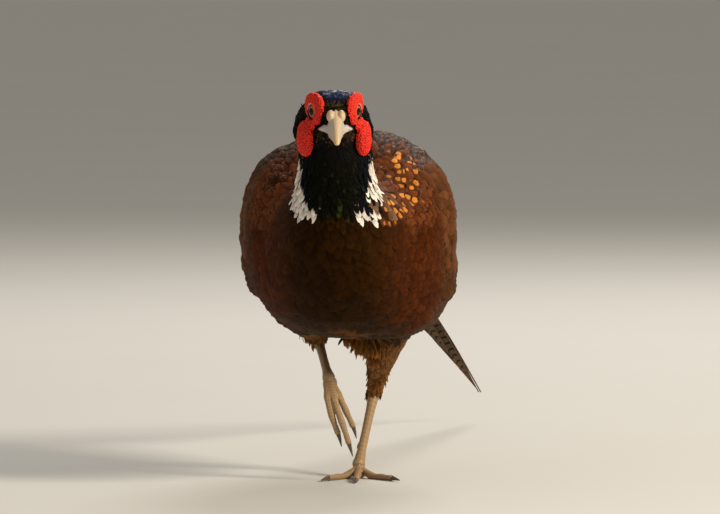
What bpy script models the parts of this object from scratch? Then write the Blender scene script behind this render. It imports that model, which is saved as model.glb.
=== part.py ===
"""A common pheasant cock, walking towards the viewer with one foot raised, as a still, life-size model.

Metres, +Z up. The bird faces -Y and its left side is +X. The origin is on the floor, under the standing
left foot. Tables are in millimetres and are turned into metres where they are read.
"""

import math

import bmesh
import bpy
import numpy as np

MM = 0.001
GAP = 0.0003  # clearance kept between neighbouring pieces
UP = np.array([0.0, 0.0, 1.0])

# Trunk and neck, as sections from the tail root up to the head, in the bird's own symmetry plane.
# Columns: y, z, tilt of the section in degrees, half-width, rise above the centre, drop below it.
TRUNK_SECTIONS = (
    (150.0, 185.0, 17.0, 29.0, 19.0, 21.0),
    (118.0, 187.0, 11.0, 46.0, 40.0, 42.0),
    (70.0, 185.5, 5.0, 65.0, 62.0, 64.0),
    (15.0, 184.5, 0.0, 73.0, 74.0, 77.0),
    (-40.0, 185.0, 3.0, 74.0, 74.0, 78.0),
    (-85.0, 187.0, 12.0, 67.0, 63.0, 75.0),
    (-114.0, 192.0, 27.0, 54.0, 47.0, 66.0),
    (-136.0, 206.0, 46.0, 41.0, 36.0, 49.0),
    (-149.0, 223.0, 64.0, 31.0, 27.0, 32.0),
    (-156.0, 238.0, 73.0, 26.5, 24.0, 25.5),
    (-159.0, 250.5, 78.0, 25.5, 23.0, 24.0),
    (-161.5, 262.0, 80.0, 22.0, 20.0, 21.0),
)
NECK_FROM = 7  # the section where the torso ends and the neck begins
HEAD_FROM = 10  # the section where the neck ends and the head begins
TRUNK_SHIFT = -5.7 * MM  # sideways place of the trunk at y = 0
TRUNK_YAW = math.radians(4.1)  # the rump swings to the bird's left by this much
TRUNK_ROUNDNESS = 2.35  # superellipse power of the torso; the neck is rounder
NECK_ROUNDNESS = 2.0
ROUNDER_FROM, ROUNDER_TO = 5, 8  # the sections between which the one turns into the other
# The standing leg pushes out the lower side of the body: by how much at most, and between which y.
FLANK_FULLNESS = 11.5
FLANK_FRONT, FLANK_REAR, FLANK_FADE = -112.0, 74.0, 50.0
TRUNK_SIDES = 24
TORSO_RINGS = 17
NECK_RINGS = 7

# Head. It has its own axes: forward along the bill, left and up, from a point midway between the eyes.
HEAD_PLACE = np.array([-17.6, -178.0, 281.5]) * MM
HEAD_PITCH = math.radians(12.0)  # the bill end points down
HEAD_YAW = math.radians(2.8)  # and a little to the bird's left
# Columns: forward, top, bottom, half-width at the crown, half-width at the cheek.
HEAD_SECTIONS = (
    (-38.0, -6.0, -22.0, 8.0, 12.0),
    (-33.0, 2.5, -29.0, 14.0, 21.5),
    (-25.0, 9.2, -34.0, 18.5, 28.0),
    (-17.0, 12.4, -35.0, 20.2, 29.8),
    (-8.0, 14.4, -35.5, 18.8, 27.0),
    (0.0, 15.0, -34.0, 16.0, 21.8),
    (8.0, 13.6, -28.5, 13.0, 16.6),
    (15.0, 10.6, -20.5, 10.0, 12.6),
    (21.0, 5.6, -14.0, 7.2, 8.8),
)
CROWN_LEVEL = 15.0
CHEEK_LEVEL = -20.0
CHEEK_SWELL = 1.8  # the face stays narrow past the eye and widens low down
CROWN_ROUNDNESS, CHIN_ROUNDNESS = 4.2, 2.4
HEAD_SIDES = 24
HEAD_RINGS = 15

EYE_RADIUS = 7.2 * MM
EYE_SURFACE = np.array([5.8, 17.8, 1.1]) * MM  # where the middle of the left eye shows
EYE_AXIS = np.array([0.55, 0.833, 0.06])
EYE_OPENING = 5.1 * MM
LID_THICKNESS = 0.9 * MM
LID_OUT, LID_LIFT = 0.5 * MM, 0.3 * MM  # how far the lid lies outside the opening and off the ball

# Red wattle as four bulbs: round the eye, its front foot beside the bill, a bridge under the eye, and the
# lobe that hangs on the cheek.
# Columns: forward, left, up, half-length, half-height, half-thickness, and in degrees the turn of the
# bulb towards the bill and the lean of its foot towards the back.
WATTLE_BULBS = (
    (3.6, 14.5, 3.6, 15.0, 10.8, 3.5, 21.0, -8.0),
    (10.6, 12.6, -1.2, 5.8, 6.2, 3.2, 24.0, 0.0),
    (3.0, 17.0, -8.4, 6.8, 4.4, 3.3, 25.0, 0.0),
    (0.4, 21.2, -20.2, 9.0, 12.9, 4.5, 24.0, 7.0),
)
WATTLE_ROUNDNESS = 2.5

# Ear tufts, each of a few locks. Root, bend and tip of the middle lock are forward, left, up.
EAR_TUFT_ROOT = np.array([-14.0, 18.5, -4.0]) * MM
EAR_TUFT_TIP = np.array([-31.0, 27.0, -8.5]) * MM
EAR_TUFT_LOCKS = 3
EAR_TUFT_BEND = np.array([0.0, 1.2, 0.8]) * MM  # off the straight line from root to tip
EAR_TUFT_TAPER = (1.0, 1.0, 0.85, 0.55, 0.12)
EAR_TUFT_RADIUS = 3.0 * MM
EAR_TUFT_SPREAD = 3.2 * MM

# Bill. Columns: forward, ridge height, height of the cutting edge, half-width.
UPPER_BILL_SECTIONS = (
    (10.0, 6.6, -9.0, 11.4),
    (15.0, 8.2, -10.2, 12.2),
    (20.0, 7.0, -10.2, 9.4),
    (26.0, 3.6, -10.4, 6.2),
    (32.0, -0.6, -11.2, 4.5),
    (38.0, -6.0, -12.6, 3.1),
    (41.8, -10.0, -13.8, 2.3),
    (44.2, -13.0, -14.8, 1.3),
)
BILL_FLARE = 0.40  # the flank of the upper bill is drawn in over the corner of the mouth by this share
BILL_FLARE_END, BILL_FLARE_LENGTH, BILL_FLARE_RISE = 29.0, 8.0, 2.2
BILL_FLANK_POWER, BILL_CREST_POWER = 0.9, 0.85
BILL_SIDES = 9
# Columns: forward, height of the cutting edge, underside, half-width.
LOWER_BILL_SECTIONS = (
    (10.0, -9.4, -14.6, 8.6),
    (15.0, -10.6, -16.2, 7.9),
    (20.0, -10.6, -16.4, 6.2),
    (26.0, -10.8, -16.3, 4.5),
    (32.0, -11.7, -16.0, 3.2),
    (38.5, -13.2, -15.4, 1.7),
)
# The corner of the mouth spreads sideways in a thick lip.
GAPE_LOBE = np.array([16.8, 8.5, -7.6]) * MM
GAPE_LOBE_SIZE = np.array([4.2, 4.1, 2.5]) * MM
NOSTRIL_LOBE = np.array([22.5, 3.9, 1.9]) * MM
NOSTRIL_LOBE_SIZE = np.array([5.6, 3.1, 4.6]) * MM
NOSTRIL_SLIT = np.array([24.5, 6.4, -2.0]) * MM
NOSTRIL_SLIT_SIZE = np.array([3.2, 1.8, 0.8]) * MM

# Wing, as a thin pad over the side of the torso with tiers of vanes on it. Angles are degrees round the
# torso from its side (0) towards the back (90).
WING_FRONT, WING_REAR = -104.0, 38.0
WING_LOW, WING_HIGH = -30.0, 54.0
WING_PAD_HEIGHT, WING_PAD_EDGE = 4.8, 0.9
WING_PAD_SINK = 4.0  # its inner face starts this far inside the torso, which is then cut out of it
WING_PAD_RINGS, WING_PAD_ROWS = 10, 8
WING_FEATHER_EDGE = 22.0  # over this many degrees below its top border the wing thins out
WING_FEATHER_FOOT = 16.0  # and over this many degrees above its lower border
WING_FEATHER_THIN = 0.30  # to this share of its full height
WING_ROOT_SINK = 3.0  # the roots of its feathers dip this far into the pad
WING_TIP_REACHED = 0.45  # a feather has its tip's height from this share of its length on
# Columns: count, root y, tip y at the low and the high end of the tier, root angles low and high, tip
# angles low and high, height over the torso at root and tip, half-width, tilt in degrees.
WING_TIERS = {
    "primary": (5, 30.0, 142.0, 128.0, -27.0, -8.0, -22.0, 2.0, 1.2, 1.7, 7.6, 6.0),
    "secondary": (8, 0.0, 104.0, 120.0, -22.0, 44.0, -22.0, 44.0, 2.4, 3.6, 9.2, 5.0),
    "greater_covert": (7, -36.0, 14.0, 34.0, -23.0, 44.0, -23.0, 46.0, 4.2, 5.2, 9.0, 5.0),
    "median_covert": (7, -70.0, -24.0, -12.0, -23.0, 46.0, -23.0, 46.0, 4.2, 6.3, 8.8, 5.0),
}
FLIGHT_STATIONS = ((0.0, 0.62), (0.30, 0.95), (0.62, 1.0), (0.88, 0.66), (1.0, 0.0))
COVERT_STATIONS = ((0.0, 0.70), (0.50, 1.0), (0.84, 0.72), (1.0, 0.0))
VANE_THICKNESS = 0.9 * MM
VANE_EDGE = 0.5 * MM

# Tail: a short root, a fan of flight feathers in pairs, and the coverts over its base.
TAIL_YAW = math.radians(13.2)  # to the bird's left
TAIL_DROP_ROOT, TAIL_DROP_TIP = math.radians(18.0), math.radians(24.0)
TAIL_LENGTH = 446.0 * MM
TAIL_PAIR_LENGTHS = (446.0, 350.0, 272.0, 216.0, 180.0, 156.0, 140.0)
TAIL_HALF_WIDTHS = (8.0, 8.0, 8.0, 8.0, 8.0, 8.0, 8.0)
TAIL_PAIR_SPREAD = math.radians(0.4)  # each pair turns out by this much more than the one over it
TAIL_PAIR_STEP = 0.6 * MM  # and starts this far further out
TAIL_LAYER = 1.7 * MM  # and lies this far under it
TAIL_RIDGE = 1.2 * MM  # the top pair meet over the middle by this much
TAIL_ROOF = math.radians(46.0)
TAIL_OVERLAP = 0.25 * MM  # the feathers of its right half lie under those of the left half by this
# Columns: share of the length, share of the full half-width.
RECTRIX_STATIONS = ((0.03, 0.48), (0.12, 0.90), (0.35, 1.0), (0.68, 0.72), (1.0, 0.0))
RECTRIX_HUG = 0.72
TAIL_ROOT_LENGTH, TAIL_ROOT_SIDES = 60.0 * MM, 12
# Columns: share of the length of the tail root, share of its width and share of its depth. Before them it
# starts as wide and deep as the end of the torso.
TAIL_ROOT_SECTIONS = ((0.25, 0.93, 0.79), (0.55, 0.78, 0.53), (0.85, 0.57, 0.27), (1.0, 0.45, 0.14))
TAIL_COVERT_COUNT = 7
TAIL_COVERT_LENGTH, TAIL_COVERT_SHORTER = 118.0 * MM, 0.10
TAIL_COVERT_WIDTH, TAIL_COVERT_STEP = 7.5 * MM, 6.6 * MM
TAIL_COVERT_LIFT, TAIL_COVERT_FALL, TAIL_COVERT_LOWER = 15.0 * MM, 0.62, 0.11
TAIL_COVERT_TURN, TAIL_COVERT_ROOF = 0.02, 0.16
TAIL_COVERT_SHIFT = 0.12  # the row sits this much of a step to the left
# Columns: share of the length, share of the full half-width.
TAIL_COVERT_STATIONS = ((0.08, 0.7), (0.35, 1.0), (0.72, 0.8), (1.0, 0.0))

# Legs. Points are x, y, z; radii run from the body down.
DRUMSTICK_RADII = (25.0, 23.5, 19.5, 14.0, 8.8, 6.2)
LEG_DEPTH = 1.2  # a leg is deeper from front to back than it is wide
LEFT_LEG = {
    "hip": (27.0, -30.0, 150.0),
    "ankle": (11.5, 41.0, 60.5),
    "joint": (0.0, -4.0, 10.5),
    "pad": (0.0, -2.0, 4.0),
    "pad_size": (6.2, 7.5, 5.0),
}
RIGHT_LEG = {
    "hip": (-46.0, -36.0, 146.0),
    "ankle": (-30.5, 35.0, 101.0),
    "joint": (-22.5, -28.0, 77.0),
    "pad": (-21.5, -25.5, 72.5),
    "pad_size": (5.4, 4.4, 6.2),
}
ANKLE_RADIUS, SHANK_RADIUS, TOE_JOINT_RADIUS = 5.4 * MM, 3.3 * MM, 5.0 * MM
# Columns: share of the way from the ankle to the joint of the toes, and radius there.
SHANK_PROFILE = ((0.0, 4.4), (0.12, 4.0), (0.22, 3.5), (0.5, 3.2), (0.8, 3.3), (0.9, 3.9))
TOE_RADIUS, TOE_TIP_RADIUS = 3.1 * MM, 2.1 * MM
TOE_KNUCKLES = 0.09  # the toes swell and narrow by this share from joint to joint
CLAW_LENGTH, CLAW_RADIUS = 11.0 * MM, 1.75 * MM
CLAW_CLEARANCE = 0.5 * MM
CLAW_BEND = 0.45  # share of its length at which a claw has turned
CLAW_TAPER = (1.0, 0.98, 0.66, 0.16)
SPUR_LENGTH, SPUR_RADIUS, SPUR_RISE = 10.0 * MM, 2.6 * MM, 1.2 * MM
SPUR_PLACE, SPUR_TURN = 0.66, 0.45
SPUR_TAPER = (1.0, 0.7, 0.12)
FLOOR_CUTTER = 0.2
# Each toe is a route from the joint to the root of its claw, then the claw's direction. In order they are
# the middle, inner, outer and hind toe.
LEFT_TOES = (
    (((0, -4, 8), (-1, -20, 2.4), (-2, -36, 2.1), (-2, -49, 2.3)), (0.0, -1.0, -0.10)),
    (((0, -4, 8), (-9, -14, 2.5), (-18, -26, 2.1), (-23, -34, 2.3)), (-0.45, -0.9, -0.10)),
    (((0, -4, 8), (9, -14, 2.5), (19, -26, 2.1), (25, -35, 2.3)), (0.50, -0.86, -0.10)),
    (((0, -3, 9), (2, 7, 6.0), (4, 15, 3.0)), (0.2, 0.95, -0.12)),
)
RIGHT_TOES = (
    (((-22.5, -29, 76), (-18, -39, 60), (-12, -42, 43), (-7.5, -40, 29)), (0.25, 0.35, -0.9)),
    (((-21.5, -29, 76), (-14, -34, 62), (-8.5, -33, 50), (-4.5, -29, 41)), (0.20, 0.45, -0.87)),
    (((-23.5, -29, 76), (-23.0, -38, 61), (-19.5, -40, 47), (-15.5, -38, 36)), (0.2, 0.40, -0.89)),
    (((-22.5, -27, 76), (-24, -16, 69), (-24, -10, 62)), (0.0, 0.35, -0.9)),
)

COLOURS = {
    "torso": ((0.24, 0.062, 0.022), 0.55),
    "neck": ((0.012, 0.030, 0.028), 0.35),
    "head": ((0.012, 0.028, 0.030), 0.35),
    "wattle": ((0.72, 0.035, 0.020), 0.60),
    "bill": ((0.70, 0.60, 0.44), 0.40),
    "eye": ((0.25, 0.09, 0.02), 0.08),
    "wing": ((0.30, 0.17, 0.08), 0.60),
    "tail": ((0.34, 0.22, 0.11), 0.60),
    "drumstick": ((0.16, 0.075, 0.035), 0.70),
    "leg": ((0.42, 0.30, 0.20), 0.50),
    "claw": ((0.12, 0.09, 0.07), 0.40),
}


def clear_scene():
    for obj in list(bpy.data.objects):
        bpy.data.objects.remove(obj)


def material(name):
    """The plain material of one kind of surface."""
    found = bpy.data.materials.get(name)
    if found:
        return found
    made = bpy.data.materials.new(name)
    made.use_nodes = True
    colour, roughness = COLOURS[name]
    shader = made.node_tree.nodes["Principled BSDF"]
    shader.inputs["Base Color"].default_value = (*colour, 1.0)
    shader.inputs["Roughness"].default_value = roughness
    return made


def unit(vector):
    vector = np.asarray(vector, float)
    return vector / np.linalg.norm(vector)


def smooth_rows(keys, rows, at):
    """Reads a table between its keys, on a smooth curve through its rows."""
    keys, rows = np.asarray(keys, float), np.asarray(rows, float)
    slopes = np.gradient(rows, keys, axis=0)
    at = np.atleast_1d(at)
    i = np.clip(np.searchsorted(keys, at, side="right") - 1, 0, len(keys) - 2)
    step = (keys[i + 1] - keys[i])[:, None]
    t = (at[:, None] - keys[i][:, None]) / step
    return (
        (2 * t**3 - 3 * t**2 + 1) * rows[i]
        + (t**3 - 2 * t**2 + t) * step * slopes[i]
        + (3 * t**2 - 2 * t**3) * rows[i + 1]
        + (t**3 - t**2) * step * slopes[i + 1]
    )


def smooth_route(points, count):
    """That many points at even steps along a smooth line through a few given ones, in metres."""
    points = np.asarray(points, float) * MM
    keys = np.r_[0.0, np.cumsum(np.linalg.norm(np.diff(points, axis=0), axis=1))]
    return smooth_rows(keys, points, np.linspace(0.0, keys[-1], count))


def signed_power(value, power):
    return np.sign(value) * np.abs(value) ** power


def mesh_object(name, points, faces, kind):
    """A mesh object from points and faces, its faces turned outwards."""
    mesh = bpy.data.meshes.new(name)
    mesh.from_pydata([tuple(p) for p in points], [], [tuple(int(i) for i in f) for f in faces])
    shape = bmesh.new()
    shape.from_mesh(mesh)
    bmesh.ops.recalc_face_normals(shape, faces=shape.faces)
    shape.to_mesh(mesh)
    shape.free()
    mesh.materials.append(material(kind))
    obj = bpy.data.objects.new(name, mesh)
    bpy.context.scene.collection.objects.link(obj)
    return obj


def loft(name, rings, kind):
    """A closed body through rings of equally many points, with its two ends capped."""
    rings = np.asarray(rings, float)
    count, sides = rings.shape[:2]
    faces = []
    for i in range(count - 1):
        for k in range(sides):
            a, b = i * sides + k, i * sides + (k + 1) % sides
            faces += [(a, b, b + sides), (a, b + sides, a + sides)]
    points = list(rings.reshape(-1, 3))
    for ring, start in ((rings[0], 0), (rings[-1], (count - 1) * sides)):
        middle = len(points)
        points.append(ring.mean(axis=0))
        faces += [(start + k, start + (k + 1) % sides, middle) for k in range(sides)]
    return mesh_object(name, points, faces, kind)


def tube(name, route, radii, sides, kind, depth=1.0):
    """A round body along a route. Depth stretches its sections across the side axis."""
    route = np.asarray(route, float)
    tangents = np.gradient(route, axis=0)
    side = None
    rings = []
    for point, tangent, radius in zip(route, tangents, radii):
        tangent = unit(tangent)
        guess = np.array([1.0, 0.0, 0.0]) if side is None else side
        side = unit(guess - tangent * (guess @ tangent))
        front = np.cross(tangent, side)
        angles = np.arange(sides) * 2 * math.pi / sides
        rings.append(
            point
            + radius * np.cos(angles)[:, None] * side
            + radius * depth * np.sin(angles)[:, None] * front
        )
    return loft(name, rings, kind)


def ellipsoid(name, centre, axes, sizes, kind, segments=16, rings=10, roundness=2.0):
    """A ball scaled to three half-sizes along three axes; a higher roundness makes it boxier."""
    shape = bmesh.new()
    bmesh.ops.create_uvsphere(shape, u_segments=segments, v_segments=rings, radius=1.0)
    points = np.array([v.co for v in shape.verts])
    swell = (np.abs(points) ** roundness).sum(axis=1) ** (-1 / roundness)
    points = points * swell[:, None] * np.asarray(sizes)
    faces = [[v.index for v in f.verts] for f in shape.faces]
    shape.free()
    return mesh_object(name, points @ np.asarray(axes) + centre, faces, kind)


def ring_torus(name, centre, axis, major, minor, kind, segments=12, sides=5):
    """A round ring about an axis, such as an eyelid."""
    axis = unit(axis)
    side = unit(np.cross(axis, UP))
    front = np.cross(axis, side)
    rings = []
    for turn in np.arange(segments) * 2 * math.pi / segments:
        out = math.cos(turn) * side + math.sin(turn) * front
        angles = np.arange(sides) * 2 * math.pi / sides
        rings.append(
            centre + out * major
            + minor * (np.cos(angles)[:, None] * out + np.sin(angles)[:, None] * axis)
        )
    faces = []
    for i in range(segments):
        for k in range(sides):
            a, b = i * sides + k, i * sides + (k + 1) % sides
            c, d = (i + 1) % segments * sides + (k + 1) % sides, (i + 1) % segments * sides + k
            faces += [(a, b, c), (a, c, d)]
    return mesh_object(name, np.reshape(rings, (-1, 3)), faces, kind)


def settle(obj):
    """Turns the object's modifiers into its own mesh, and keeps only the largest closed surface."""
    graph = bpy.context.evaluated_depsgraph_get()
    mesh = bpy.data.meshes.new_from_object(obj.evaluated_get(graph))
    obj.modifiers.clear()
    obj.data = mesh
    shape = bmesh.new()
    shape.from_mesh(mesh)
    bmesh.ops.triangulate(shape, faces=shape.faces)
    shape.verts.ensure_lookup_table()
    shape.faces.ensure_lookup_table()
    unseen, shells = set(shape.faces), []
    while unseen:
        stack, shell = [unseen.pop()], []
        while stack:
            face = stack.pop()
            shell.append(face)
            for edge in face.edges:
                for other in edge.link_faces:
                    if other in unseen:
                        unseen.discard(other)
                        stack.append(other)
        volume = sum(f.verts[0].co.dot(f.verts[1].co.cross(f.verts[2].co)) for f in shell)
        shells.append((volume, shell))
    shells.sort(key=lambda entry: entry[0])
    loose = [f for _, shell in shells[:-1] for f in shell]
    bmesh.ops.delete(shape, geom=loose, context="FACES")
    shape.to_mesh(mesh)
    shape.free()
    return obj


def combine(base, others, operation):
    """Joins the other objects to the base, or cuts them from it, in one step, and removes them."""
    tools = bpy.data.collections.new(operation.lower())
    bpy.context.scene.collection.children.link(tools)
    for other in others:
        bpy.context.scene.collection.objects.unlink(other)
        tools.objects.link(other)
    modifier = base.modifiers.new(operation.title(), "BOOLEAN")
    modifier.operation = operation
    modifier.operand_type = "COLLECTION"
    modifier.collection = tools
    modifier.solver = "EXACT"
    settle(base)
    for other in others:
        bpy.data.objects.remove(other)
    bpy.data.collections.remove(tools)
    return base


def trunk_keys():
    table = np.array(TRUNK_SECTIONS)
    return np.r_[0.0, np.cumsum(np.linalg.norm(np.diff(table[:, :2], axis=0), axis=1))]


def trunk_to_world(points):
    """Points of the bird's own symmetry frame, turned and set beside the standing foot."""
    c, s = math.cos(TRUNK_YAW), math.sin(TRUNK_YAW)
    x, y, z = np.moveaxis(np.asarray(points, float), -1, 0)
    return np.stack([x * c + y * s + TRUNK_SHIFT, y * c - x * s, z], axis=-1)


def trunk_section(place):
    """Centre, up and forward directions, and sizes of the trunk at a distance from the tail root, in mm."""
    y, z, tilt, half_width, rise, drop = smooth_rows(trunk_keys(), TRUNK_SECTIONS, place)[0]
    tilt = math.radians(tilt)
    up = np.array([0.0, math.sin(tilt), math.cos(tilt)])
    forward = np.array([0.0, -math.cos(tilt), math.sin(tilt)])
    start, end = trunk_keys()[[ROUNDER_FROM, ROUNDER_TO]]
    share = np.clip((place - start) / (end - start), 0, 1)
    power = TRUNK_ROUNDNESS + (NECK_ROUNDNESS - TRUNK_ROUNDNESS) * share
    return np.array([0.0, y, z]) * MM, up, forward, np.array([half_width, rise, drop]) * MM, power


def trunk_points(place, angles, grow=0.0, ahead=0.0):
    """World points round one section of the trunk, at angles from its left side towards the back."""
    centre, up, forward, (half_width, rise, drop), power = trunk_section(place)
    c, s = np.cos(angles), np.sin(angles)
    across = (half_width + grow) * signed_power(c, 2 / power)
    height = np.where(s > 0, rise + grow, drop + grow) * signed_power(s, 2 / power)
    y = centre[1] / MM
    fade = min((y - FLANK_FRONT) / FLANK_FADE, (FLANK_REAR - y) / FLANK_FADE, 1.0)
    full = FLANK_FULLNESS * MM * math.sin(math.pi / 2 * max(fade, 0.0)) ** 2
    full = full * np.where((c > 0) & (s < 0), np.sin(2 * np.asarray(angles)) ** 2, 0.0)
    side = np.array([1.0, 0.0, 0.0])
    across, height = across + full * c, height + full * s
    points = centre + forward * ahead + across[..., None] * side + height[..., None] * up
    return trunk_to_world(points)


def trunk_loft(name, first, last, rings, kind, grow=0.0, shy=(0.0, 0.0)):
    """The trunk between two places along it; shy draws each end back from its plane."""
    angles = np.arange(TRUNK_SIDES) * 2 * math.pi / TRUNK_SIDES
    places = np.linspace(first, last, rings)
    ahead = np.zeros(rings)
    ahead[0], ahead[-1] = shy[0], -shy[1]
    return loft(name, [trunk_points(p, angles, grow, a) for p, a in zip(places, ahead)], kind)


def place_at(y):
    """Distance along the trunk at which its centre has this y, in mm."""
    places = np.linspace(0.0, trunk_keys()[NECK_FROM], 200)
    centres = smooth_rows(trunk_keys(), TRUNK_SECTIONS, places)[:, 0]
    return float(np.interp(-y, -centres, places))


def head_axes():
    """Rows are the head's forward, left and up directions."""
    forward = np.array([
        math.sin(HEAD_YAW) * math.cos(HEAD_PITCH),
        -math.cos(HEAD_YAW) * math.cos(HEAD_PITCH),
        -math.sin(HEAD_PITCH),
    ])
    left = np.array([math.cos(HEAD_YAW), math.sin(HEAD_YAW), 0.0])
    return np.array([forward, left, np.cross(forward, left)])


def head_to_world(points):
    return np.asarray(points, float) @ head_axes() + HEAD_PLACE


def mirrored(vector, side):
    """The vector as it is on the left side of the head, or mirrored for the right."""
    return np.asarray(vector, float) * np.array([1.0, side, 1.0])


def head_loft(name, kind, grow=0.0):
    """The feathered head without its neck."""
    keys = [row[0] for row in HEAD_SECTIONS]
    angles = np.arange(HEAD_SIDES) * 2 * math.pi / HEAD_SIDES
    c, s = np.cos(angles), np.sin(angles)
    rings = []
    shares = np.linspace(-1.0, 1.0, HEAD_RINGS)
    middle, reach = (keys[-1] + keys[0]) / 2, (keys[-1] - keys[0]) / 2
    for forward in middle + reach * np.sin(shares * math.pi / 2):
        _, top, bottom, crown, cheek = smooth_rows(keys, HEAD_SECTIONS, forward)[0]
        centre = (top + bottom) / 2
        power = np.where(s > 0, CROWN_ROUNDNESS, CHIN_ROUNDNESS)
        height = centre + (top - bottom) / 2 * signed_power(s, 2 / power)
        share = np.clip((CROWN_LEVEL - height) / (CROWN_LEVEL - CHEEK_LEVEL), 0, 1)
        across = (crown + (cheek - crown) * share**CHEEK_SWELL) * signed_power(c, 2 / power)
        points = np.stack([np.full(HEAD_SIDES, forward), across, height], axis=1) * MM
        outward = np.stack([0 * c, c, s], axis=1)
        rings.append(head_to_world(points + outward * grow))
    if grow:
        rings[0] = rings[0] - head_axes()[0] * grow
        rings[-1] = rings[-1] + head_axes()[0] * grow
    return loft(name, rings, kind)


def eye_centre(side):
    return mirrored(EYE_SURFACE - unit(EYE_AXIS) * EYE_RADIUS, side)


def make_head():
    """Head with its ear tufts, and the top of the neck fused into it, with sockets for the eyes."""
    keys = trunk_keys()
    head = head_loft("head", "head")
    stub = trunk_loft("stub", keys[HEAD_FROM], keys[-1], 4, "head", shy=(-GAP, 0.0))
    locks = []
    for side in (1, -1):
        for i in range(EAR_TUFT_LOCKS):
            lift = (i - (EAR_TUFT_LOCKS - 1) / 2) * EAR_TUFT_SPREAD
            root = EAR_TUFT_ROOT + np.array([0.0, 0.0, lift])
            tip = EAR_TUFT_TIP + np.array([lift * 0.8, 0.0, lift * 1.3])
            bend = (root + tip) / 2 + EAR_TUFT_BEND
            route = head_to_world([mirrored(p, side) for p in (root, bend, tip)])
            route = smooth_route(route / MM, len(EAR_TUFT_TAPER))
            radii = EAR_TUFT_RADIUS * np.array(EAR_TUFT_TAPER)
            locks.append(tube("lock", route, radii, 5, "head", depth=0.8))
    combine(head, [stub, *locks], "UNION")
    neck = trunk_loft("neck_core", *keys[[NECK_FROM, HEAD_FROM]], NECK_RINGS, "neck", GAP, (0, -GAP / 2))
    socket_size = [EYE_RADIUS + GAP] * 3
    sockets = [
        ellipsoid("socket", head_to_world(eye_centre(side)), head_axes(), socket_size, "head", 12, 8)
        for side in (1, -1)
    ]
    return combine(head, [neck, *sockets], "DIFFERENCE")


def make_eyes():
    for name, side in (("eye_left", 1), ("eye_right", -1)):
        ellipsoid(name, head_to_world(eye_centre(side)), head_axes(), [EYE_RADIUS] * 3, "eye", 12, 8)


def wattle_axes(side, turn, lean):
    """Along, out of and up a wattle bulb, as rows, in the head's own axes."""
    turn, lean = math.radians(turn) * side, math.radians(lean)
    along = np.array([math.cos(turn), -math.sin(turn), 0.0])
    out = np.array([math.sin(turn), math.cos(turn), 0.0])
    leant = math.cos(lean) * along - math.sin(lean) * UP
    risen = math.cos(lean) * UP + math.sin(lean) * along
    return np.array([leant, out, risen])


def make_wattles():
    """The bare red face on each side: its bulbs and the eyelid, laid against the head."""
    keys = trunk_keys()
    for name, side in (("wattle_left", 1), ("wattle_right", -1)):
        bulbs = []
        for forward, left, up, length, height, thickness, turn, lean in WATTLE_BULBS:
            centre = head_to_world(mirrored(np.array([forward, left, up]) * MM, side))
            axes = wattle_axes(side, turn, lean) @ head_axes()
            sizes = np.array([length, thickness, height]) * MM
            bulbs.append(ellipsoid(name, centre, axes, sizes, "wattle", 12, 8, WATTLE_ROUNDNESS))
        ball = eye_centre(side)
        axis = mirrored(unit(EYE_AXIS), side)
        lid_place = ball + axis * (math.sqrt(EYE_RADIUS**2 - EYE_OPENING**2) + LID_LIFT)
        lid = ring_torus(
            "lid", head_to_world(lid_place), axis @ head_axes(), EYE_OPENING + LID_OUT,
            LID_THICKNESS, "wattle",
        )
        wattle = combine(bulbs[0], [*bulbs[1:], lid], "UNION")
        cutters = [
            head_loft("core", "head", GAP),
            bill_loft("bill_core", UPPER_BILL_SECTIONS, True, 12, GAP),
            gape_lobe(side, GAP),
            trunk_loft("column", keys[ROUNDER_TO], keys[-1], 8, "head", grow=GAP),
            ellipsoid("ball", head_to_world(ball), head_axes(), [EYE_RADIUS + GAP] * 3, "eye", 12, 8),
            tube(
                "opening",
                head_to_world([ball, ball + axis * EYE_RADIUS * 2]),
                [EYE_OPENING, EYE_OPENING * 1.1], 12, "eye",
            ),
        ]
        combine(wattle, cutters, "DIFFERENCE")


def bill_loft(name, sections, upper, rings, grow=0.0):
    """One half of the bill: arched over or under a flat side along the cutting edge."""
    keys = [row[0] for row in sections]
    angles = np.linspace(0.0, math.pi, BILL_SIDES)
    made = []
    for forward in np.linspace(keys[0], keys[-1], rings):
        _, first, second, half_width = smooth_rows(keys, sections, forward)[0]
        edge, crest = (second, first) if upper else (first, second)
        out = grow / MM * np.sign(crest - edge)
        edge, crest, half_width = edge - out, crest + out, half_width + grow / MM
        flare = np.clip((BILL_FLARE_END - forward) / BILL_FLARE_LENGTH, 0, 1) * BILL_FLARE * upper
        across = half_width * signed_power(np.cos(angles), BILL_FLANK_POWER)
        across *= 1 - flare * np.minimum(1, BILL_FLARE_RISE * np.sin(angles))
        height = edge + (crest - edge) * np.sin(angles) ** BILL_CREST_POWER
        ring = np.stack([np.full(len(angles), forward), across, height], axis=1)
        made.append(head_to_world(ring * MM))
    return loft(name, made, "bill")


def gape_lobe(side, grow=0.0):
    place = head_to_world(mirrored(GAPE_LOBE, side))
    return ellipsoid("gape", place, head_axes(), GAPE_LOBE_SIZE + grow, "bill", 12, 8)


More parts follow.
